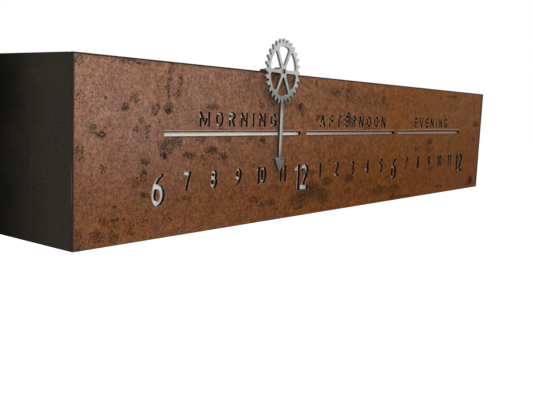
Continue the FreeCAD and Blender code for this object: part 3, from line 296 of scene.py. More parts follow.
def makeStain(s):
    group, given, result = newGroup("stain", (("Where", "Vector", origin), ("Centre", "Vector", origin),
                                              ("Size", "Vector", (1.0, 1.0, 1.0)), ("Depth", "Float", 1.0)),
                                    (("Mask", "Float"),))
    away = vectorMaths(group, "SUBTRACT", given["Where"], given["Centre"])
    reach = vectorMaths(group, "LENGTH", vectorMaths(group, "DIVIDE", away, given["Size"]))
    group.links.new(times(group, remap(group, reach, *s["stainFade"]), given["Depth"]), result["Mask"])
    return group


def makeGrain(s):
    group, given, result = newGroup("grain", (("Where", "Vector", origin), ("Scale", "Float", 400.0),
                                              ("Clusters", "Float", 24.0), ("Crowd", "Float", 0.0)),
                                    (("Grain", "Float"), ("Flecks", "Float")))
    where, scale, areas = given["Where"], given["Scale"], given["Crowd"]
    group.links.new(patches(group, where, (scale, *s["fine"]), s["fineLevel"]), result["Grain"])
    spots = noise(group, where, times(group, scale, s["spotScale"]), *s["spots"])
    crowd = noise(group, where, given["Clusters"], *s["crowd"])
    level = plus(group, spots, times(group, crowd, s["crowdShare"]))
    level = plus(group, level, times(group, areas, s["areaShare"]))
    large = noise(group, where, times(group, scale, s["largeScale"]), *s["large"])
    large = plus(group, large, times(group, areas, s["largeAreaShare"]))
    flecks = larger(group, remap(group, level, *s["spotLevel"]), remap(group, large, *s["largeLevel"]))
    group.links.new(flecks, result["Flecks"])
    return group


def makeBrushMarks(s):
    group, given, result = newGroup("brushMarks", (("Where", "Vector", origin), ("Scale", "Float", 60.0)),
                                    (("Marks", "Float"), ("Cloud", "Float")))
    marks = patches(group, given["Where"], (given["Scale"], *s["strokes"]), s["strokeLevel"])
    group.links.new(marks, result["Marks"])
    group.links.new(patches(group, position(group), s["cloud"], s["cloudLevel"]), result["Cloud"])
    return group


edgeWearAndHighlight = makeEdgeWearAndHighlight(effects)
stain = makeStain(effects)
grain = makeGrain(effects)
brushMarks = makeBrushMarks(effects)
print("shared effects made")


# Copper face, in metres. Reaches and lines are measured from an edge of the face, slots and heights
# from the frame's origin
copper = {
    # Tones are lighter and paler to the top left, darker and more saturated to the bottom right: partly the
    # copper's own tone, partly painted sheen and painted shade
    "leftLow": (0.140, 0.057, 0.027),
    "leftHigh": (0.214, 0.120, 0.091),
    "rightLow": (0.118, 0.034, 0.001),
    "rightHigh": (0.156, 0.056, 0.014),
    "toneReach": (-0.1, 0.75),
    "cloud": (7.0, 4.0, 0.55, 0.4),
    "cloudSwing": 0.8,
    "dapple": ((38.0, 4.0, 0.6), (0.3, 0.7), (0.92, 1.07)),  # texture, level, amount
    "orange": ((9.0, 3.0, 0.5, 0.3), (0.40, 0.64)),
    "orangeShift": (0.0, 0.0, 1.7),
    "orangeTint": (1.03, 0.94, 0.78),
    # Grain of the surface
    "grainScale": 430.0,
    "grainClusters": 26.0,
    "grainSwing": (0.34, 0.26),  # left, right
    "tinge": (90.0, 4.0, 0.7, 0.2),
    "tingeSwing": (0.35, 0.35, 0.55),
    "mottle": (170.0, 4.0, 0.7, 0.2),
    "mottleReach": (0.05, 0.6),
    "mottleSwing": (0.9, 2.4),
    # Sparkles: painted glints near the top left corner, where the sheen lies
    "sparkles": ((520.0, 2.0, 0.6), (0.62, 0.74), (0.0, 0.6)),
    "sparkleShift": (0.9, 0.0, 0.2),
    "sparkleReach": (0.16, 0.01),
    "sparkleHeight": (0.2, 0.8),
    "sparkle": (0.46, 0.33, 0.27),
    # Patina: stains with broken rims, flecks and single pits
    "warp": (85.0, 5.0, 0.7, 0.3),
    "warpSwing": (0.016, 0.0, 0.016),
    "speck": (420.0, 3.0, 0.65),
    "speckGaps": (0.40, 0.56, 0.50, 1.0),  # from low and high, to low and high
    "oliveEdge": (0.02, 0.14),
    "oliveDepth": (0.0, 0.9, 0.12, 1.0),
    "oliveTint": (0.44, 0.55, 0.54),
    "rimBand": (0.03, 0.50, 0.14),
    "rimDepth": (0.0, 0.5, 0.45, 1.0),
    "rimSpecks": (0.44, 0.54),
    "rimTint": (0.20, 0.23, 0.24),
    "seeds": (0.56, 0.63, 0.0, 0.8),
    "darkEdge": (0.04, 0.45),
    "darkTint": (0.20, 0.22, 0.26),
    "fleckDepth": 0.8,
    "pitScale": 95.0,
    "pitShape": (1.0, 0.0, 0.8),
    "pitShare": (0.74, 0.78),
    "pitSize": (0.15, 0.07),
    "pitDepth": 0.85,
    "pit": (0.014, 0.008, 0.005),
    # Lips of the cut-outs: a painted highlight round every cut-out, a painted highlight line above each slot
    # and painted shade lines at its top and bottom edges, then a dark rim round the cut-outs
    "lipHighlight": {"Radius": 0.0030, "Breakup": 260.0},
    "lipHighlightDepth": 0.5,
    "lipHighlightTone": (0.36, 0.235, 0.165),
    "lipGaps": ((60.0, 3.0, 0.6), (0.3, 0.55), (0.35, 0.9)),
    "slotMiddle": 0.0189,
    "narrowing": (0.08, 0.30, 1.0, 0.74),
    # Bands: a painted highlight line above each slot and painted shade lines at its top and bottom edges
    "bands": ((0.0225, 0.0242, "slotHighlight", 0.75), (0.0206, 0.0228, "lipShade", 0.95),
              (0.0148, 0.0167, "lipShade", 0.75)),  # z from and to, tone, depth
    "bandSoft": 0.0006,
    "slotEnds": ((-0.4151, -0.1457), (-0.1307, 0.1387), (0.1537, 0.4231)),  # x from and to
    "bandPastSlot": 0.002,
    "bandEndSoft": 0.003,
    "slotHighlight": (0.42, 0.26, 0.18),
    "lipShade": (0.020, 0.011, 0.008),
    "cutRim": {"Radius": 0.0009, "Breakup": 60.0},
    "cutRimDepth": 0.85,
    # Dark outline, cut walls and returns of the sheet
    "topLine": (-0.0030, -0.0012),
    "rightLine": (-0.0105, -0.0045),
    "bottomLine": (0.0014, 0.0005),
    "leftLine": (0.0020, 0.0006),
    "leftDepth": 0.7,
    "outlineGaps": ((90.0, 4.0, 0.7), (0.3, 0.5), (0.35, 0.95)),
    "frontFacing": (0.45, 0.75),
    "wallInset": 0.004,
    "wallSoft": 0.0005,
    "cutEdge": (0.006, 0.005, 0.005),
    "returns": (0.016, 0.013, 0.010),
    "returnLine": (0.120, 0.050, 0.022),
    "lineDepths": (0.0022, 0.0044, 0.0005),
    "lineHeights": (-0.062, -0.004, 0.02),
    "lineReach": (0.003, 0.001),
    "lineAmount": 0.5,
    # Sheen and relief
    "metallic": 0.14,
    "roughness": (0.46, 0.60),
    "stainRoughness": 0.2,
    "specular": 0.04,
    "specularTint": (0.80, 0.50, 0.34, 1.0),
    "grainRelief": 0.35,
    "speckRelief": 0.5,
    "relief": (0.0005, 0.6),  # distance, strength
}
# Stains, each as u, w, half width, half height and depth: millimetres from the face's lower left
# corner, u to the right and w up
oliveStains = (
    (130, 107, 15, 11, 0.95), (143, 112, 11, 7, 0.9), (125, 97, 7, 6, 0.9), (131, 151, 8, 8, 1.0),
    (130, 170, 3.5, 14, 0.75), (134, 192, 4.5, 11, 0.8), (151, 183, 4, 8, 0.35), (146, 166, 4, 7, 0.35),
    (67, 150, 8, 7, 0.3), (80, 160, 8, 7, 0.25), (111, 148, 8, 8, 0.5), (98, 126, 6, 5, 0.75),
    (91, 136, 5, 5, 0.55), (83, 127, 7, 6, 0.4), (24, 127, 6, 6, 0.5), (34, 121, 7, 5, 0.35),
    (7, 103, 6, 9, 0.55), (82, 68, 6, 8, 0.45), (93, 76, 6, 9, 0.35), (95, 90, 8, 5, 0.4),
    (97, 52, 8, 4, 0.4), (166, 95, 14, 5, 0.35), (190, 91, 9, 5, 0.3), (205, 100, 15, 6, 0.35),
    (228, 93, 10, 6, 0.35), (186, 114, 11, 3, 0.5), (229, 114, 15, 5, 0.6), (224, 126, 10, 3, 0.6),
    (283, 115, 10, 3, 0.55), (308, 110, 12, 4, 0.35), (28, 16, 6, 5, 0.75), (77, 13, 5, 5, 0.6),
    (53, 7, 8, 4, 0.6), (4, 10, 7, 13, 0.6), (158, 43, 16, 4, 0.25), (302, 158, 8, 5, 0.4),
    (294, 32, 12, 5, 0.35), (320, 24, 22, 5, 0.45), (398, 21, 22, 13, 0.6), (462, 23, 15, 13, 0.7),
    (472, 47, 17, 8, 0.45), (433, 36, 30, 12, 0.35), (425, 62, 26, 6, 0.25), (535, 28, 14, 5, 0.6),
    (535, 48, 16, 7, 0.35), (664, 43, 12, 3, 0.6), (684, 21, 22, 8, 0.5), (689, 7, 12, 5, 0.7),
    (640, 22, 34, 9, 0.3), (825, 104, 14, 7, 0.4), (823, 86, 5, 5, 0.85), (838, 50, 11, 5, 0.55),
    (772, 90, 7, 5, 0.4), (705, 22, 8, 5, 0.6), (730, 5, 34, 3, 0.6), (880, 13, 22, 3, 0.5),
    (911, 191, 32, 2.5, 0.4), (1042, 17, 13, 10, 0.9), (1022, 10, 13, 5, 0.6), (1040, 105, 6, 7, 0.7),
    (1050, 138, 24, 9, 0.35), (70, 200, 14, 3, 0.6), (92, 199, 9, 3, 0.6), (6, 196, 6, 7, 0.5),
)
darkStains = (
    (131, 147, 7, 4, 0.7), (124, 97, 5, 3, 0.6), (524, 150, 7, 5, 0.85),
    (528, 140, 8, 9, 0.7), (439, 143, 6, 6, 0.7), (560, 140, 6, 7, 0.5), (1042, 16, 12, 8, 0.45),
    (574, 126, 10, 3, 0.6), (205, 154, 15, 5, 0.35), (517, 176, 3, 4, 0.8), (518, 187, 4, 3, 0.7),
    (633, 189, 5, 3, 0.6), (636, 177, 9, 9, 0.3), (390, 157, 7, 7, 0.4), (398, 148, 3, 7, 0.5),
    (52, 43, 5, 3, 0.85), (39, 27, 3, 4, 0.85), (57, 28, 3.5, 3, 0.9), (50, 28, 2, 2, 0.8),
    (67, 27, 2.5, 2, 0.6), (94, 24, 3, 1.5, 0.8), (101, 23, 2, 3, 0.85), (53, 20, 2, 2, 0.9),
    (85, 37, 2, 1.5, 0.7), (101, 34, 2, 1.5, 0.7), (116, 12, 3, 1.5, 0.7), (168, 41, 2, 2, 0.7),
    (151, 8, 3, 2, 0.6), (475, 78, 8, 3, 0.55), (590, 128, 14, 2, 0.4), (430, 195, 8, 6, 0.25),
    (477, 181, 2.5, 2, 0.7), (489, 185, 3, 2, 0.6), (500, 190, 3, 2, 0.6), (446, 186, 2, 2, 0.6),
    (574, 41, 3, 3, 0.6), (603, 39, 2, 4, 0.5), (718, 36, 4, 2.5, 0.8), (823, 21, 4, 2, 0.7),
    (720, 73, 4, 2, 0.6), (352, 62, 9, 5, 0.25), (1036, 170, 6, 14, 0.2), (41, 159, 2, 2, 0.8),
    (98, 117, 2, 1.5, 0.9), (100, 121, 1.5, 1.5, 0.8), (46, 131, 2, 2, 0.6), (36, 119, 2, 1.5, 0.6),
)
fleckAreas = (
    (74, 154, 15, 12, 0.35), (32, 164, 15, 7, 0.4), (96, 128, 12, 10, 0.6), (34, 124, 14, 9, 0.2),
    (147, 176, 10, 18, 0.55), (129, 168, 7, 20, 0.6), (70, 199, 26, 4, 0.9), (8, 160, 9, 14, 0.5),
    (37, 85, 10, 6, 0.8), (62, 94, 14, 5, 0.6), (96, 53, 10, 5, 1.0), (90, 22, 22, 9, 0.7),
    (45, 34, 16, 14, 0.7), (40, 10, 34, 9, 0.8), (136, 24, 18, 7, 0.6), (168, 93, 22, 8, 0.6),
    (212, 95, 28, 10, 0.5), (205, 153, 22, 9, 0.6), (262, 176, 26, 14, 0.5), (300, 26, 22, 9, 0.7),
    (392, 155, 16, 14, 0.9), (425, 32, 60, 20, 0.9), (484, 182, 28, 10, 1.0), (525, 182, 26, 20, 1.0),
    (590, 174, 60, 20, 0.75), (590, 132, 40, 8, 0.7), (440, 98, 12, 14, 0.8), (535, 48, 24, 12, 1.0),
    (592, 30, 34, 20, 0.7), (520, 75, 60, 14, 0.5), (340, 45, 22, 6, 0.8), (772, 88, 14, 12, 0.7),
    (825, 95, 20, 16, 0.8), (720, 150, 24, 8, 0.4), (1040, 20, 22, 16, 0.8), (1044, 110, 14, 16, 0.5),
)


def stainMap(tree, warped, stains):
    total = 0.0
    for u, w, halfWide, halfHigh, depth in stains:
        centre = (faceLow.x + u / 1000, faceLow.y, faceLow.z + w / 1000)
        mask = place(tree, stain, Where=warped, Centre=centre, Depth=depth,
                     Size=(halfWide / 1000, 1.0, halfHigh / 1000))["Mask"]
        total = larger(tree, mask, total)
    return total


def slotBand(tree, s, x, z, low, high):
    along = 0.0
    for start, end in s["slotEnds"]:
        inSlot = between(tree, x, start - s["bandPastSlot"], end + s["bandPastSlot"], s["bandEndSoft"])
        along = larger(tree, inSlot, along)
    return times(tree, along, between(tree, z, low, high, s["bandSoft"]))


def copperTones(tree, s, where, height, along):
    # painted sheen to the top left and painted shade to the bottom right, over the copper's own tone
    low = mixColor(tree, along, s["leftLow"], s["rightLow"])
    high = mixColor(tree, along, s["leftHigh"], s["rightHigh"])
    cloud = noise(tree, where, *s["cloud"])
    mixed = plus(tree, height, times(tree, minus(tree, cloud, 0.5), s["cloudSwing"]))
    base = mixColor(tree, remap(tree, mixed, 0.0, 1.0), low, high)
    base = tinted(tree, base, patches(tree, where, *s["dapple"]))
    hue = patches(tree, position(tree, shift=s["orangeShift"]), *s["orange"])
    return tinted(tree, base, s["orangeTint"], hue), mixed


def copperGrain(tree, s, where, x, along, mixed, base):
    areas = stainMap(tree, where, fleckAreas)
    speckle = place(tree, grain, Where=where, Scale=s["grainScale"], Clusters=s["grainClusters"], Crowd=areas)
    coarse = remap(tree, along, 0.0, 1.0, *s["grainSwing"])
    swing = times(tree, minus(tree, speckle["Grain"], 0.5), times(tree, coarse, 2.0))
    base = tinted(tree, base, plus(tree, swing, 1.0))
    swing = vectorMaths(tree, "MULTIPLY", drift(tree, where, s["tinge"]), s["tingeSwing"])
    mottle = minus(tree, noise(tree, where, *s["mottle"]), 0.5)
    mottle = times(tree, mottle, remap(tree, along, *s["mottleReach"], *s["mottleSwing"]))
    swing = vectorMaths(tree, "ADD", swing, mottle)
    base = tinted(tree, base, vectorMaths(tree, "ADD", swing, (1.0, 1.0, 1.0)))
    # sparkles are painted glints, near the left edge and higher up
    bright = patches(tree, position(tree, shift=s["sparkleShift"]), *s["sparkles"])
    bright = times(tree, bright, fromEdge(tree, x, faceLow.x, s["sparkleReach"]))
    bright = times(tree, bright, remap(tree, mixed, *s["sparkleHeight"]))
    return mixColor(tree, bright, base, s["sparkle"]), speckle


def copperStains(tree, s, where, base):
    warp = vectorMaths(tree, "MULTIPLY", drift(tree, where, s["warp"]), s["warpSwing"])
    warped = vectorMaths(tree, "ADD", where, warp)
    speck = noise(tree, where, *s["speck"])
    broken = remap(tree, speck, *s["speckGaps"])
    field = stainMap(tree, warped, oliveStains)
    patch = times(tree, remap(tree, field, *s["oliveEdge"]), remap(tree, field, *s["oliveDepth"]))
    ring = times(tree, between(tree, field, *s["rimBand"]), remap(tree, field, *s["rimDepth"]))
    olive = times(tree, patch, broken)
    base = tinted(tree, base, s["oliveTint"], olive)
    rim = times(tree, ring, remap(tree, speck, *s["rimSpecks"]))
    base = tinted(tree, base, s["rimTint"], rim)
    seeds = times(tree, patch, remap(tree, speck, *s["seeds"]))
    base = mixColor(tree, seeds, base, s["pit"])
    field = stainMap(tree, warped, darkStains)
    dark = times(tree, remap(tree, field, *s["darkEdge"]), broken)
    return tinted(tree, base, s["darkTint"], dark), speck, olive, dark


def copperPits(tree, s, where):
    cell = add(tree, "ShaderNodeTexVoronoi")
    cell.inputs["Scale"].default_value = s["pitScale"]
    tree.links.new(vectorMaths(tree, "MULTIPLY", where, s["pitShape"]), cell.inputs["Vector"])
    chosen = remap(tree, axes(tree, cell.outputs["Color"])[0], *s["pitShare"])
    return times(tree, remap(tree, cell.outputs["Distance"], *s["pitSize"]), chosen)


def copperLips(tree, s, where, x, z, base):
    # painted highlight round the lips of every cut-out
    wearAndHighlight = place(tree, edgeWearAndHighlight, **s["lipHighlight"])["WearAndHighlight"]
    base = mixColor(tree, times(tree, wearAndHighlight, s["lipHighlightDepth"]), base, s["lipHighlightTone"])
    ends = patches(tree, where, *s["lipGaps"])
    narrow = times(tree, minus(tree, z, s["slotMiddle"]), remap(tree, x, *s["narrowing"]))
    across = plus(tree, narrow, s["slotMiddle"])
    # painted highlight line above each slot, painted shade lines at its top and bottom edges
    for low, high, tone, amount in s["bands"]:
        band = times(tree, slotBand(tree, s, x, across, low, high), ends)
        base = mixColor(tree, times(tree, band, amount), base, s[tone])
    # a dark rim round every cut-out
    cutRim = place(tree, edgeWearAndHighlight, **s["cutRim"])["WearAndHighlight"]
    return mixColor(tree, times(tree, cutRim, s["cutRimDepth"]), base, s["cutEdge"])


def copperOutline(tree, s, where, x, z, base):
    outline = fromEdge(tree, z, faceHigh.z, s["topLine"])
    outline = larger(tree, outline, fromEdge(tree, x, faceHigh.x, s["rightLine"]))
    outline = larger(tree, outline, fromEdge(tree, z, faceLow.z, s["bottomLine"]))
    outline = larger(tree, outline, fromEdge(tree, x, faceLow.x, s["leftLine"], s["leftDepth"]))
    ragged = patches(tree, where, *s["outlineGaps"])
    return mixColor(tree, times(tree, outline, ragged), base, s["returns"])


# Cut walls inside the outline are black, partly their own dark cut edge and partly painted shade; the returns
# round it dark brown with a copper line
def copperWalls(tree, s, x, y, z, side, base):
    inset, soft = s["wallInset"], s["wallSoft"]
    inside = times(tree, between(tree, x, faceLow.x + inset, faceHigh.x - inset, soft),
                   between(tree, z, faceLow.z + inset, faceHigh.z - inset, soft))
    near, far, lineSoft = s["lineDepths"]
    line = times(tree, between(tree, y, faceLow.y + near, faceLow.y + far, lineSoft),
                 between(tree, z, *s["lineHeights"]))
    line = times(tree, line, fromEdge(tree, x, faceLow.x, s["lineReach"], s["lineAmount"]))
    returns = mixColor(tree, line, s["returns"], s["returnLine"])
    walls = mixColor(tree, inside, returns, s["cutEdge"])
    return mixColor(tree, side, base, walls)


def copperFace(s):
    mat, tree, bsdf = newMaterial("copperFace")
    where = position(tree)
    x, y, z = axes(tree, where)
    height = remap(tree, z, faceLow.z, faceHigh.z)
    along = fromEdge(tree, x, faceLow.x, s["toneReach"])
    base, mixed = copperTones(tree, s, where, height, along)
    base, speckle = copperGrain(tree, s, where, x, along, mixed, base)
    base, speck, olive, dark = copperStains(tree, s, where, base)
    base = mixColor(tree, times(tree, speckle["Flecks"], s["fleckDepth"]), base, s["pit"])
    pits = copperPits(tree, s, where)
    base = mixColor(tree, times(tree, pits, s["pitDepth"]), base, s["pit"])
    base = copperLips(tree, s, where, x, z, base)
    base = copperOutline(tree, s, where, x, z, base)
    facing = add(tree, "ShaderNodeTexCoord").outputs["Normal"]
    front = remap(tree, maths(tree, "ABSOLUTE", axes(tree, facing)[1]), *s["frontFacing"])
    side = minus(tree, 1.0, front)
    base = copperWalls(tree, s, x, y, z, side, base)

    bare = times(tree, front, minus(tree, 1.0, larger(tree, olive, dark)))
    metallic = times(tree, bare, s["metallic"])
    rough = remap(tree, speckle["Grain"], 0.0, 1.0, *s["roughness"])
    rough = plus(tree, rough, times(tree, olive, s["stainRoughness"]))
    height = minus(tree, times(tree, speckle["Grain"], s["grainRelief"]), pits)
    height = plus(tree, height, times(tree, speck, s["speckRelief"]))
    surface(tree, bsdf, base, metallic, rough, height, s["relief"])
    bsdf.inputs["Specular IOR Level"].default_value = s["specular"]
    bsdf.inputs["Specular Tint"].default_value = s["specularTint"]
    return mat


# Case of dark patinated steel; painted shade turns the left side darker towards the back
steel = {
    "near": (0.0225, 0.0200, 0.0155),
    "far": (0.0030, 0.0029, 0.0017),
    "cloud": (6.0, 5.0, 0.6, 0.6),
    "cloudSwing": 0.12,
    "backShadeReach": (-0.150, -0.035),
    "leftFacing": (-0.5, -0.8),
    "rust": (0.0270, 0.0175, 0.0120),
    "rustShift": (0.3, 0.1, 0.7),
    "rustPatches": ((14.0, 5.0, 0.6, 0.5), (0.52, 0.72), (0.0, 0.6)),
    "mill": (0.0280, 0.0285, 0.0230),
    "millShift": (2.0, 0.4, 0.1),
    "millPatches": ((19.0, 6.0, 0.65, 0.4), (0.52, 0.7), (0.0, 0.45)),
    "grain": {"Scale": 380.0, "Clusters": 18.0},
    "grainTone": (0.85, 1.15),
    "worn": (0.075, 0.070, 0.062),
    "wearAndHighlight": {"Radius": 0.0012, "Breakup": 90.0},
    "wearDepth": 0.5,
    "specular": 0.003,
    "roughLevel": (0.3, 0.7, 0.42, 0.6),
    "relief": (0.0002, 0.4),
}


def darkSteel(s):
    mat, tree, bsdf = newMaterial("darkSteel")
    where = position(tree)
    y = axes(tree, where)[1]
    cloud = noise(tree, where, *s["cloud"])
    depth = plus(tree, y, times(tree, minus(tree, cloud, 0.5), s["cloudSwing"]))
    facing = axes(tree, add(tree, "ShaderNodeTexCoord").outputs["Normal"])[0]
    # painted shade: the left-facing side darkens towards the back
    shaded = times(tree, remap(tree, depth, *s["backShadeReach"]), remap(tree, facing, *s["leftFacing"]))
    rust = patches(tree, position(tree, shift=s["rustShift"]), *s["rustPatches"])
    base = mixColor(tree, rust, s["near"], s["rust"])
    mill = patches(tree, position(tree, shift=s["millShift"]), *s["millPatches"])
    base = mixColor(tree, mill, base, s["mill"])
    base = mixColor(tree, shaded, base, s["far"])
    speckle = place(tree, grain, Where=where, **s["grain"])
    base = tinted(tree, base, remap(tree, speckle["Grain"], 0.0, 1.0, *s["grainTone"]))
    wearAndHighlight = place(tree, edgeWearAndHighlight, **s["wearAndHighlight"])["WearAndHighlight"]
    base = mixColor(tree, times(tree, wearAndHighlight, s["wearDepth"]), base, s["worn"])
    surface(tree, bsdf, base, 0.0, remap(tree, cloud, *s["roughLevel"]), speckle["Grain"], s["relief"])
    bsdf.inputs["Specular IOR Level"].default_value = s["specular"]
    return mat


# Milled end plates, coupler and carriage block
aluminium = {
    "color": (0.75, 0.75, 0.76),
    "strokeShare": 0.78,
    "cloudShare": 0.65,
    "cloudDepth": 0.3,
    "stretch": (1.0, 12.0, 1.0),
    "scale": 60.0,
    "roughness": (0.3, 0.45),
    "relief": (0.00005, 0.5),
}


def milledAluminium(s):
    mat, tree, bsdf = newMaterial("milledAluminium")
    strokes = place(tree, brushMarks, Where=position(tree, s["stretch"]), Scale=s["scale"])
    base = mixColor(tree, strokes["Marks"], dimmed(s["color"], s["strokeShare"]), s["color"])
    cloudy = times(tree, strokes["Cloud"], s["cloudDepth"])
    base = mixColor(tree, cloudy, base, dimmed(s["color"], s["cloudShare"]))
    rough = remap(tree, strokes["Marks"], 0.0, 1.0, *s["roughness"])
    surface(tree, bsdf, base, 1.0, rough, strokes["Marks"], s["relief"])
    return mat


# Plain finishes of the small parts: name, colour, metallic, roughness from and to
plainFinishes = {
    "black_steel": ("blackScrew", (0.02, 0.02, 0.02), 0.6, 0.35, 0.5),
    "zinc_steel": ("zinc", (0.55, 0.56, 0.57), 1.0, 0.3, 0.5),
    "ground_steel": ("groundSteel", (0.70, 0.70, 0.71), 1.0, 0.12, 0.25),
    "bronze": ("bronze", (0.48, 0.30, 0.13), 1.0, 0.3, 0.45),
    "motor_black": ("motorEnamel", (0.03, 0.03, 0.033), 0.2, 0.35, 0.5),
    "black_rubber": ("rubber", (0.02, 0.02, 0.02), 0.0, 0.7, 0.85),
    "black_plastic": ("blackPlastic", (0.025, 0.025, 0.025), 0.0, 0.4, 0.55),
    "green_board": ("boardGreen", (0.02, 0.13, 0.06), 0.0, 0.3, 0.4),
    "green_plastic": ("terminalGreen", (0.06, 0.28, 0.11), 0.0, 0.4, 0.5),
    "lead_sheath": ("leadSheath", (0.02, 0.02, 0.02), 0.0, 0.5, 0.65),
    "nylon_white": ("nylon", (0.75, 0.75, 0.72), 0.0, 0.4, 0.55),
}
hangerFinish = ("hangerSteel", (0.030, 0.017, 0.010), 0.0, 0.6, 0.8)
plainLook = {
    "grain": {"Scale": 320.0, "Clusters": 19.2},
    "cloud": ((24.0, 4.0, 0.6), (0.3, 0.7)),
    "cloudShare": 0.75,
    "wearAndHighlight": {"Radius": 0.0005, "Breakup": 200.0},
    "wearDepth": 0.35,
    "wornLift": 0.08,
    "wornGain": 1.4,
    "relief": (0.00008, 0.5),
}


def plainFinish(s, name, color, metallic, low, high):
    mat, tree, bsdf = newMaterial(name)
    speckle = place(tree, grain, Where=position(tree), **s["grain"])
    cloud = patches(tree, position(tree), *s["cloud"])
    base = mixColor(tree, cloud, dimmed(color, s["cloudShare"]), color)
    wearAndHighlight = place(tree, edgeWearAndHighlight, **s["wearAndHighlight"])["WearAndHighlight"]
    worn = tuple(min(1.0, s["wornLift"] + s["wornGain"] * part) for part in color)
    base = mixColor(tree, times(tree, wearAndHighlight, s["wearDepth"]), base, worn)
    rough = remap(tree, speckle["Grain"], 0.0, 1.0, low, high)
    surface(tree, bsdf, base, metallic, rough, speckle["Grain"], s["relief"])
    return mat


# Bright backing behind the cut-outs; painted light and shade run along the dial, apart for figures and slots:
# light at the left, darker and browner to the right
backing = {
    "color": (0.84, 0.80, 0.76),
    "strokeShare": 0.82,
    "stretch": (1.0, 1.0, 26.0),
    "scale": 60.0,
    "figures": ((0.0, (0.84, 0.83, 0.82)), (0.28, (0.82, 0.82, 0.82)), (0.40, (0.60, 0.60, 0.60)),
                (0.62, (0.32, 0.30, 0.28)), (0.80, (0.22, 0.18, 0.15)), (1.0, (0.20, 0.16, 0.13))),
    "slotShading": ((0.0, (0.96, 0.96, 0.96)), (0.21, (1.08, 1.05, 1.03)), (0.365, (1.08, 1.04, 1.0)),
              (0.385, (0.78, 0.70, 0.68)), (0.45, (0.62, 0.54, 0.51)), (0.57, (0.45, 0.33, 0.27)),
              (0.65, (0.47, 0.36, 0.27)), (0.72, (0.49, 0.30, 0.20)), (0.85, (0.53, 0.32, 0.23)),
              (1.0, (0.50, 0.31, 0.22))),
    "slotHeights": (0.014, 0.024, 0.002),
    "shade": (0.035, 0.022, 0.016),
    "shadeHeights": (0.0192, 0.0235, 0.0008),
    "shadeReach": (-0.28, -0.02),
    "shadeDepth": 0.9,
    "metallic": 0.25,
    "roughness": (0.40, 0.55),
    "relief": (0.00005, 0.5),
}


def brightBacking(s):
    mat, tree, bsdf = newMaterial("brightBacking")
    where = position(tree)
    parts = axes(tree, where)
    x, z = parts[0], parts[2]
    marks = place(tree, brushMarks, Where=position(tree, s["stretch"]), Scale=s["scale"])
    base = mixColor(tree, marks["Marks"], dimmed(s["color"], s["strokeShare"]), s["color"])
    along = linear(tree, x, faceLow.x, faceHigh.x)
    # painted light and shade along the dial, for the figures and for the slots
    figures = ramp(tree, along, s["figures"])
    slotShading = ramp(tree, along, s["slotShading"])
    level = mixColor(tree, between(tree, z, *s["slotHeights"]), figures, slotShading)
    base = tinted(tree, base, level)
    shaded = times(tree, between(tree, z, *s["shadeHeights"]), remap(tree, x, *s["shadeReach"]))
    base = mixColor(tree, times(tree, shaded, s["shadeDepth"]), base, s["shade"])
    rough = remap(tree, marks["Marks"], 0.0, 1.0, *s["roughness"])
    surface(tree, bsdf, base, s["metallic"], rough, marks["Marks"], s["relief"])
    return mat


# Pointer plate: painted reflection tones from the arrow's tip up to the wheel, and its cut walls: near-black
# painted shade, lighter where they face up and on the wheel as painted light and reflection
pointerLook = {
    "reflectionTones": ((0.0, (0.085, 0.081, 0.073)), (0.13, (0.135, 0.129, 0.120)), (0.17, (0.30, 0.27, 0.245)),
              (0.33, (0.42, 0.375, 0.34)), (0.45, (0.44, 0.40, 0.37)), (0.51, (0.17, 0.175, 0.168)),
              (0.58, (0.20, 0.205, 0.198)), (0.66, (0.38, 0.37, 0.36)), (0.85, (0.50, 0.49, 0.48)),
              (1.0, (0.58, 0.57, 0.56))),
    "strokes": {"stretch": (9.0, 1.0, 1.0), "scale": 90.0, "tone": (0.85, 1.12)},
    "shade": (0.10, 0.11, 0.115),
    "cloudDepth": 0.30,
    "shaftHalf": 0.0035,
    "shaftShading": (1.22, 0.50),
    "shaftTop": (0.072, 0.060),
    "shaftHeights": (-0.0165, 0.08, 0.002),
    "worn": (0.75, 0.74, 0.72),
    "wearAndHighlight": {"Radius": 0.0006, "Breakup": 300.0},
    "wearDepth": 0.45,
    "metallic": 0.9,
    "roughness": (0.34, 0.50),
    "relief": (0.00005, 0.5),
}
cutWalls = {
    "color": (0.008, 0.008, 0.008),
    "lightShare": 3.0,
    "marks": (500.0, 3.0, 0.6),
    "stretch": (1.0, 4.0, 1.0),
    "markLevel": (0.35, 0.7),
    "upFacing": (0.5, 0.95, 0.0, 0.8),
    "upLightColor": (0.45, 0.44, 0.42),
    "wheelReach": (0.092, 0.112),
    "wheelReflectionColor": (0.15, 0.15, 0.148),
    "specular": 0.15,
    "roughLevel": (0.3, 0.7, 0.5, 0.7),
    "relief": (0.0001, 0.5),
}
screwHead = {
    "color": (0.17, 0.165, 0.16),
    "darkShare": 0.7,
    "marks": (900.0, 3.0, 0.6),
    "markLevel": (0.3, 0.7),
    "socket": (0.008, 0.008, 0.008),
    "socketShape": (1.0, 0.0, 0.8),
    "socketReach": (0.0023, 0.0019),
    "metallic": 0.3,
    "roughness": (0.4, 0.6),
    "relief": (0.00005, 0.5),
}
hub = (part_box("hub_screw")[0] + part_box("hub_screw")[1]) / 2


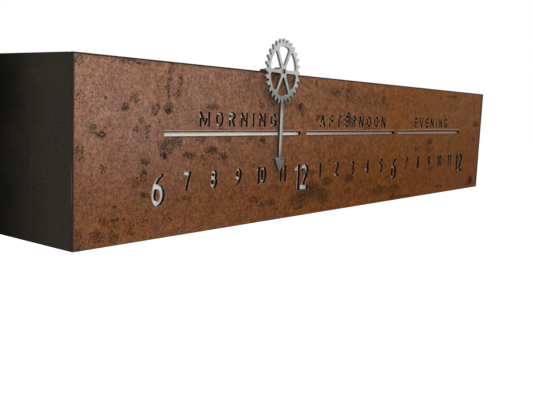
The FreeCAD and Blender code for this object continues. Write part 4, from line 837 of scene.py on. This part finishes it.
def pointerSteel(s):
    mat, tree, bsdf = newMaterial("pointerSteel")
    where = position(tree)
    z = axes(tree, where)[2]
    # painted reflection: darker on the arrow and the wheel's lower rim, lighter up the wheel
    base = ramp(tree, linear(tree, z, pointerLow.z, pointerHigh.z), s["reflectionTones"])
    brushed = s["strokes"]
    strokes = place(tree, brushMarks, Where=position(tree, brushed["stretch"]), Scale=brushed["scale"])
    base = tinted(tree, base, remap(tree, strokes["Marks"], 0.0, 1.0, *brushed["tone"]))
    base = mixColor(tree, times(tree, strokes["Cloud"], s["cloudDepth"]), base, s["shade"])
    half = s["shaftHalf"]
    # painted shading across the shaft: lighter left half, darker right half
    across = remap(tree, axes(tree, where)[0], hub.x - half, hub.x + half, *s["shaftShading"])
    shaft = times(tree, remap(tree, z, *s["shaftTop"]), between(tree, z, *s["shaftHeights"]))
    base = mixColor(tree, shaft, base, tinted(tree, base, across))
    wearAndHighlight = place(tree, edgeWearAndHighlight, **s["wearAndHighlight"])["WearAndHighlight"]
    base = mixColor(tree, times(tree, wearAndHighlight, s["wearDepth"]), base, s["worn"])
    rough = remap(tree, strokes["Marks"], 0.0, 1.0, *s["roughness"])
    surface(tree, bsdf, base, s["metallic"], rough, strokes["Marks"], s["relief"])
    return mat


def cutEdgeSteel(s):
    mat, tree, bsdf = newMaterial("pointerCutEdge")
    marks = noise(tree, position(tree, s["stretch"]), *s["marks"])
    # walls are near-black as painted shade; those facing up get painted light, those on the wheel a painted
    # reflection
    up = remap(tree, axes(tree, add(tree, "ShaderNodeTexCoord").outputs["Normal"])[2], *s["upFacing"])
    lighter = dimmed(s["color"], s["lightShare"])
    dark = mixColor(tree, remap(tree, marks, *s["markLevel"]), s["color"], lighter)
    height = axes(tree, position(tree))[2]
    dark = mixColor(tree, remap(tree, height, *s["wheelReach"]), dark, s["wheelReflectionColor"])
    base = mixColor(tree, up, dark, s["upLightColor"])
    surface(tree, bsdf, base, 0.0, remap(tree, marks, *s["roughLevel"]), marks, s["relief"])
    bsdf.inputs["Specular IOR Level"].default_value = s["specular"]
    return mat


def hubScrew(s):
    mat, tree, bsdf = newMaterial("hubScrew")
    where = position(tree)
    away = vectorMaths(tree, "SUBTRACT", where, tuple(hub))
    reach = vectorMaths(tree, "LENGTH", vectorMaths(tree, "MULTIPLY", away, s["socketShape"]))
    marks = noise(tree, where, *s["marks"])
    darker = dimmed(s["color"], s["darkShare"])
    base = mixColor(tree, remap(tree, marks, *s["markLevel"]), darker, s["color"])
    # the socket is painted, not cut: a near-black disc as the shade in its recess
    base = mixColor(tree, remap(tree, reach, *s["socketReach"]), base, s["socket"])
    rough = remap(tree, marks, *s["markLevel"], *s["roughness"])
    surface(tree, bsdf, base, s["metallic"], rough, marks, s["relief"])
    return mat


finishes = {
    "copper_face": copperFace(copper),
    "dark_steel": darkSteel(steel),
    "bright_steel": brightBacking(backing),
    "pointer_steel": pointerSteel(pointerLook),
    "milled_aluminium": milledAluminium(aluminium),
}
for name, values in plainFinishes.items():
    finishes[name] = plainFinish(plainLook, *values)
hanger = plainFinish(plainLook, *hangerFinish)
ownFinishes = {"hub_screw": hubScrew(screwHead), "hanger_arm": hanger, "pointer_boss": hanger}
for row in frame["record"]["subparts"]:
    obj = nodes[row["node"]]
    obj.data.materials.clear()
    obj.data.materials.append(ownFinishes.get(row["node"], finishes[row["material_slot"]]))
print("materials made:", len(finishes) + len(ownFinishes))


# Pointer: a merged copy with eased edges and dark cut walls (painted shade)
pointerEdge = {
    "mergeGap": 0.000001,
    "flatAngle": 1.0,
    "sharpAngle": 30.0,
    "bevel": 0.00025,
    "bevelSteps": 2,
    "bevelProfile": 0.5,
    "wallFacing": 0.6,
}


def easedPointer(s):
    mesh = nodes["pointer"].data.copy()
    mesh.name = "pointerPlate"
    while mesh.attributes.get("custom_normal"):
        mesh.attributes.remove(mesh.attributes["custom_normal"])
    body = bmesh.new()
    body.from_mesh(mesh)
    bmesh.ops.remove_doubles(body, verts=body.verts, dist=s["mergeGap"])
    flat, sharp = math.radians(s["flatAngle"]), math.radians(s["sharpAngle"])
    bmesh.ops.dissolve_limit(body, angle_limit=flat, verts=body.verts, edges=body.edges)
    edges = [e for e in body.edges if len(e.link_faces) == 2 and e.calc_face_angle() > sharp]
    bmesh.ops.bevel(body, geom=edges, offset=s["bevel"], segments=s["bevelSteps"],
                    profile=s["bevelProfile"], affect="EDGES", clamp_overlap=True)
    body.normal_update()
    for face in body.faces:
        face.smooth = False
        face.material_index = 0 if abs(face.normal.y) > s["wallFacing"] else 1
    mesh.materials.clear()
    mesh.materials.append(finishes["pointer_steel"])
    mesh.materials.append(cutEdgeSteel(cutWalls))
    body.to_mesh(mesh)
    body.free()
    obj = bpy.data.objects.new("pointerPlate", mesh)
    bpy.context.scene.collection.objects.link(obj)
    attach(obj, "carriage")
    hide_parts("pointer")
    print("pointer eased:", len(mesh.polygons), "faces")


easedPointer(pointerEdge)


# Geometry trees: points in, one plain mesh out
def newTree(name, floats, integers):
    tree = bpy.data.node_groups.new(name, "GeometryNodeTree")
    tree.interface.new_socket("Geometry", in_out="INPUT", socket_type="NodeSocketGeometry")
    for labels, kind in ((floats, "NodeSocketFloat"), (integers, "NodeSocketInt")):
        for label in labels:
            tree.interface.new_socket(label, in_out="INPUT", socket_type=kind)
    tree.interface.new_socket("Material", in_out="INPUT", socket_type="NodeSocketMaterial")
    tree.interface.new_socket("Geometry", in_out="OUTPUT", socket_type="NodeSocketGeometry")
    return tree, add(tree, "NodeGroupInput").outputs


def finishTree(tree, geometry, material):
    real = add(tree, "GeometryNodeRealizeInstances")
    tree.links.new(geometry, real.inputs[0])
    painted = add(tree, "GeometryNodeSetMaterial")
    tree.links.new(real.outputs[0], painted.inputs["Geometry"])
    tree.links.new(material, painted.inputs["Material"])
    tree.links.new(painted.outputs[0], add(tree, "NodeGroupOutput").inputs[0])
    return tree


def shifted(tree, geometry, height):
    move = add(tree, "GeometryNodeTransform")
    tree.links.new(geometry, move.inputs["Geometry"])
    offset = add(tree, "ShaderNodeCombineXYZ")
    tree.links.new(height, offset.inputs[2])
    tree.links.new(offset.outputs[0], move.inputs["Translation"])
    return move.outputs[0]


def turned(tree, geometry, rotation):
    turn = add(tree, "GeometryNodeTransform")
    tree.links.new(geometry, turn.inputs["Geometry"])
    turn.inputs["Rotation"].default_value = rotation
    return turn.outputs[0]


def grown(name, tree, points, values, shift=(0.0, 0.0, 0.0)):
    mesh = bpy.data.meshes.new(name + "Points")
    mesh.from_pydata(points, [], [])
    seed = bpy.data.objects.new(name + "Points", mesh)
    bpy.context.scene.collection.objects.link(seed)
    modifier = seed.modifiers.new("shape", "NODES")
    modifier.node_group = tree
    for item in tree.interface.items_tree:
        if item.in_out == "INPUT" and item.name in values:
            modifier[item.identifier] = values[item.name]
    made = bpy.data.meshes.new_from_object(seed.evaluated_get(bpy.context.evaluated_depsgraph_get()))
    seed.modifiers.remove(modifier)
    bpy.data.objects.remove(seed)
    made.name = name
    made.transform(Matrix.Translation(shift))
    obj = bpy.data.objects.new(name, made)
    bpy.context.scene.collection.objects.link(obj)
    return obj


# Lead screw: five starts on a 10 mm lead, right-hand, with a plain journal past the thread
leadThread = {
    "radius": 0.005,
    "rootShare": 0.83,
    "journalShare": 0.8,
    "shoulderGap": 0.001,
    "lead": 0.010,
    "starts": 5,
    "crestRise": (0.20, 0.30),
    "perStart": 6,
    "perLead": 20,
    "runOut": 0.003,
}
screwLow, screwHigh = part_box("lead_screw")


def threadTree(s):
    tree, given = newTree("threadShape", ("Length", "Radius", "Root Share", "Journal Share", "Shoulder",
                                          "Lead", "Starts", "Run Out"), ("Around", "Rings"))
    core = add(tree, "GeometryNodeMeshCylinder")
    for label, source in (("Vertices", "Around"), ("Side Segments", "Rings"), ("Radius", "Radius"),
                          ("Depth", "Length")):
        tree.links.new(given[source], core.inputs[label])
    x, y, z = axes(tree, add(tree, "GeometryNodeInputPosition").outputs[0])
    turn = maths(tree, "DIVIDE", maths(tree, "ARCTAN2", y, x), 2 * math.pi)
    wave = maths(tree, "FRACT", times(tree, turn, given["Starts"]))
    crest = linear(tree, maths(tree, "ABSOLUTE", minus(tree, wave, 0.5)), *s["crestRise"])
    fromStart = plus(tree, z, times(tree, given["Length"], 0.5))
    toShoulder = minus(tree, given["Shoulder"], fromStart)
    margin = maths(tree, "DIVIDE", maths(tree, "MINIMUM", fromStart, toShoulder), given["Run Out"])
    cut = times(tree, minus(tree, 1.0, crest), linear(tree, margin, 0.0, 1.0))
    cut = times(tree, cut, minus(tree, 1.0, given["Root Share"]))
    onJournal = maths(tree, "LESS_THAN", toShoulder, 0.0)
    thinned = times(tree, onJournal, minus(tree, 1.0, given["Journal Share"]))
    share = minus(tree, 1.0, larger(tree, cut, thinned))
    join = add(tree, "ShaderNodeCombineXYZ")
    for socket, value in zip(join.inputs, (times(tree, x, share), times(tree, y, share), z)):
        tree.links.new(value, socket)
    twist = add(tree, "ShaderNodeVectorRotate", rotation_type="Z_AXIS")
    tree.links.new(join.outputs[0], twist.inputs["Vector"])
    leads = maths(tree, "DIVIDE", z, given["Lead"])
    tree.links.new(times(tree, leads, 2 * math.pi), twist.inputs["Angle"])
    moved = add(tree, "GeometryNodeSetPosition")
    tree.links.new(core.outputs["Mesh"], moved.inputs["Geometry"])
    tree.links.new(twist.outputs[0], moved.inputs["Position"])
    return finishTree(tree, turned(tree, moved.outputs[0], (0.0, math.pi / 2, 0.0)), given["Material"])


def makeLeadThread(s):
    length = screwHigh.x - screwLow.x
    obj = grown("leadThread", threadTree(s), [(0.0, 0.0, 0.0)], {
        "Length": length, "Radius": s["radius"], "Root Share": s["rootShare"], "Lead": s["lead"],
        "Journal Share": s["journalShare"], "Starts": float(s["starts"]), "Run Out": s["runOut"],
        "Shoulder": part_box("end_plate_right")[0].x - s["shoulderGap"] - screwLow.x,
        "Around": s["starts"] * s["perStart"], "Rings": round(length / s["lead"] * s["perLead"]),
        "Material": finishes["ground_steel"],
    }, (screwLow + screwHigh) / 2)
    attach(obj, "screw")
    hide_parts("lead_screw")
    print("lead thread:", len(obj.data.polygons), "faces")


makeLeadThread(leadThread)


# Countersunk socket screws in the back sheet, heads flush with it
backScrews = {
    "headRadius": 0.0038,
    "shankRadius": 0.0020,
    "length": 0.008,
    "socket": 0.0017,
    "socketDepth": 0.0012,
    "places": [(x, z) for x in (-0.477, -0.2385, 0.0, 0.2385, 0.477) for z in (-0.09, 0.09)]
              + [(-0.5285, 0.0), (0.5285, 0.0)],
}
endPlateScrews = {
    "headRadius": 0.0046,
    "shankRadius": 0.0025,
    "length": 0.018,
    "socket": 0.0020,
    "socketDepth": 0.0015,
    "places": [(x, z) for x in (-0.489, 0.4796) for z in (0.03, 0.06)],
}
screwSides = {"head": 40, "socket": 6, "shank": 28}


def screwTree(s):
    tree, given = newTree("screwShape", ("Head Radius", "Shank Radius", "Length", "Socket", "Socket Depth"),
                          ("Seed",))
    height = minus(tree, given["Head Radius"], given["Shank Radius"])
    head = add(tree, "GeometryNodeMeshCone")
    head.inputs["Vertices"].default_value = s["head"]
    for label, value in (("Radius Top", given["Head Radius"]), ("Radius Bottom", given["Shank Radius"]),
                         ("Depth", height)):
        tree.links.new(value, head.inputs[label])
    headAt = shifted(tree, head.outputs["Mesh"], times(tree, height, -1.0))
    hexagon = add(tree, "GeometryNodeMeshCylinder")
    hexagon.inputs["Vertices"].default_value = s["socket"]
    tree.links.new(given["Socket"], hexagon.inputs["Radius"])
    tree.links.new(times(tree, given["Socket Depth"], 2.0), hexagon.inputs["Depth"])
    drilled = add(tree, "GeometryNodeMeshBoolean", operation="DIFFERENCE")
    tree.links.new(headAt, drilled.inputs["Mesh 1"])
    tree.links.new(hexagon.outputs["Mesh"], drilled.inputs["Mesh 2"])
    shank = add(tree, "GeometryNodeMeshCylinder")
    shank.inputs["Vertices"].default_value = s["shank"]
    tree.links.new(given["Shank Radius"], shank.inputs["Radius"])
    tree.links.new(minus(tree, given["Length"], height), shank.inputs["Depth"])
    middle = times(tree, plus(tree, given["Length"], height), -0.5)
    both = add(tree, "GeometryNodeJoinGeometry")
    tree.links.new(drilled.outputs["Mesh"], both.inputs[0])
    tree.links.new(shifted(tree, shank.outputs["Mesh"], middle), both.inputs[0])
    laid = turned(tree, both.outputs[0], (-math.pi / 2, 0.0, 0.0))
    angle = add(tree, "FunctionNodeRandomValue", data_type="FLOAT")
    angle.inputs[3].default_value = math.pi
    tree.links.new(given["Seed"], angle.inputs["Seed"])
    roll = add(tree, "ShaderNodeCombineXYZ")
    tree.links.new(angle.outputs[1], roll.inputs[1])
    spread = add(tree, "GeometryNodeInstanceOnPoints")
    tree.links.new(given["Geometry"], spread.inputs["Points"])
    tree.links.new(laid, spread.inputs["Instance"])
    tree.links.new(roll.outputs[0], spread.inputs["Rotation"])
    return finishTree(tree, spread.outputs[0], given["Material"])


def makeScrews(name, node, tree, s, seed):
    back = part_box(node)[1].y
    obj = grown(name, tree, [(x, back, z) for x, z in s["places"]], {
        "Head Radius": s["headRadius"], "Shank Radius": s["shankRadius"], "Length": s["length"],
        "Socket": s["socket"], "Socket Depth": s["socketDepth"], "Seed": seed,
        "Material": finishes["black_steel"],
    })
    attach(obj, "case")
    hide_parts(node)
    print(name + ":", len(s["places"]), "screws")


screwShape = screwTree(screwSides)
makeScrews("backScrews", "back_screws", screwShape, backScrews, 3)
makeScrews("endPlateScrews", "end_plate_screws", screwShape, endPlateScrews, 8)


# Floor, world and lamps
studio = {
    "floorDrop": 1.15,
    "floorSize": 60.0,
    "floorWhite": 0.92,
    "floorRough": 0.9,
    "floorGlow": 0.66,
    "worldLight": 0.40,
}
lamps = {
    "keyLamp": {"place": (-2.0, -1.75, 0.85), "aim": (-0.1, -0.18, 0.0), "size": (1.2, 0.9), "energy": 62.0},
    "fillLamp": {"place": (1.7, -2.2, 0.9), "aim": (0.1, -0.18, 0.0), "size": (2.0, 1.6), "energy": 4.0},
    "topLamp": {"place": (0.1, -0.4, 2.4), "aim": (0.0, -0.1, 0.0), "size": (2.2, 1.2), "energy": 9.0},
    "backLamp": {"place": (0.6, 2.4, 1.3), "aim": (0.0, 0.0, 0.0), "size": (1.8, 1.4), "energy": 26.0},
}


def pathSeen(tree):
    path = add(tree, "ShaderNodeLightPath")
    seen = larger(tree, path.outputs["Is Camera Ray"], path.outputs["Is Glossy Ray"])
    return larger(tree, seen, path.outputs["Is Transmission Ray"])


def makeFloor(s):
    half = s["floorSize"] / 2
    z = faceLow.z - s["floorDrop"]
    mesh = bpy.data.meshes.new("floor")
    corners = [(-half, -half, z), (half, -half, z), (half, half, z), (-half, half, z)]
    mesh.from_pydata(corners, [], [(0, 1, 2, 3)])
    obj = bpy.data.objects.new("floor", mesh)
    bpy.context.scene.collection.objects.link(obj)
    mat, tree, bsdf = newMaterial("floorWhite")
    bsdf.inputs["Base Color"].default_value = (s["floorWhite"], s["floorWhite"], s["floorWhite"], 1.0)
    bsdf.inputs["Roughness"].default_value = s["floorRough"]
    bsdf.inputs["Emission Color"].default_value = (1.0, 1.0, 1.0, 1.0)
    glow = times(tree, pathSeen(tree), s["floorGlow"])
    tree.links.new(glow, bsdf.inputs["Emission Strength"])
    mesh.materials.append(mat)


def makeWorld(s):
    world = bpy.data.worlds.new("studio")
    bpy.context.scene.world = world
    world.use_nodes = True
    tree = world.node_tree
    back = next(n for n in tree.nodes if n.type == "BACKGROUND")
    back.inputs["Color"].default_value = (1.0, 1.0, 1.0, 1.0)
    level = s["worldLight"]
    strength = plus(tree, times(tree, pathSeen(tree), 1.0 - level), level)
    tree.links.new(strength, back.inputs["Strength"])


def makeLamp(name, s):
    data = bpy.data.lights.new(name, "AREA")
    data.shape = "RECTANGLE"
    data.size, data.size_y = s["size"]
    data.energy = s["energy"]
    obj = bpy.data.objects.new(name, data)
    bpy.context.scene.collection.objects.link(obj)
    spot, aim = Vector(s["place"]), Vector(s["aim"])
    turn = (aim - spot).to_track_quat("-Z", "Y").to_matrix().to_4x4()
    obj.matrix_world = Matrix.Translation(spot) @ turn


makeFloor(studio)
makeWorld(studio)
for name, values in lamps.items():
    makeLamp(name, values)
bpy.context.scene.view_settings.view_transform = "Standard"
print("studio lit")
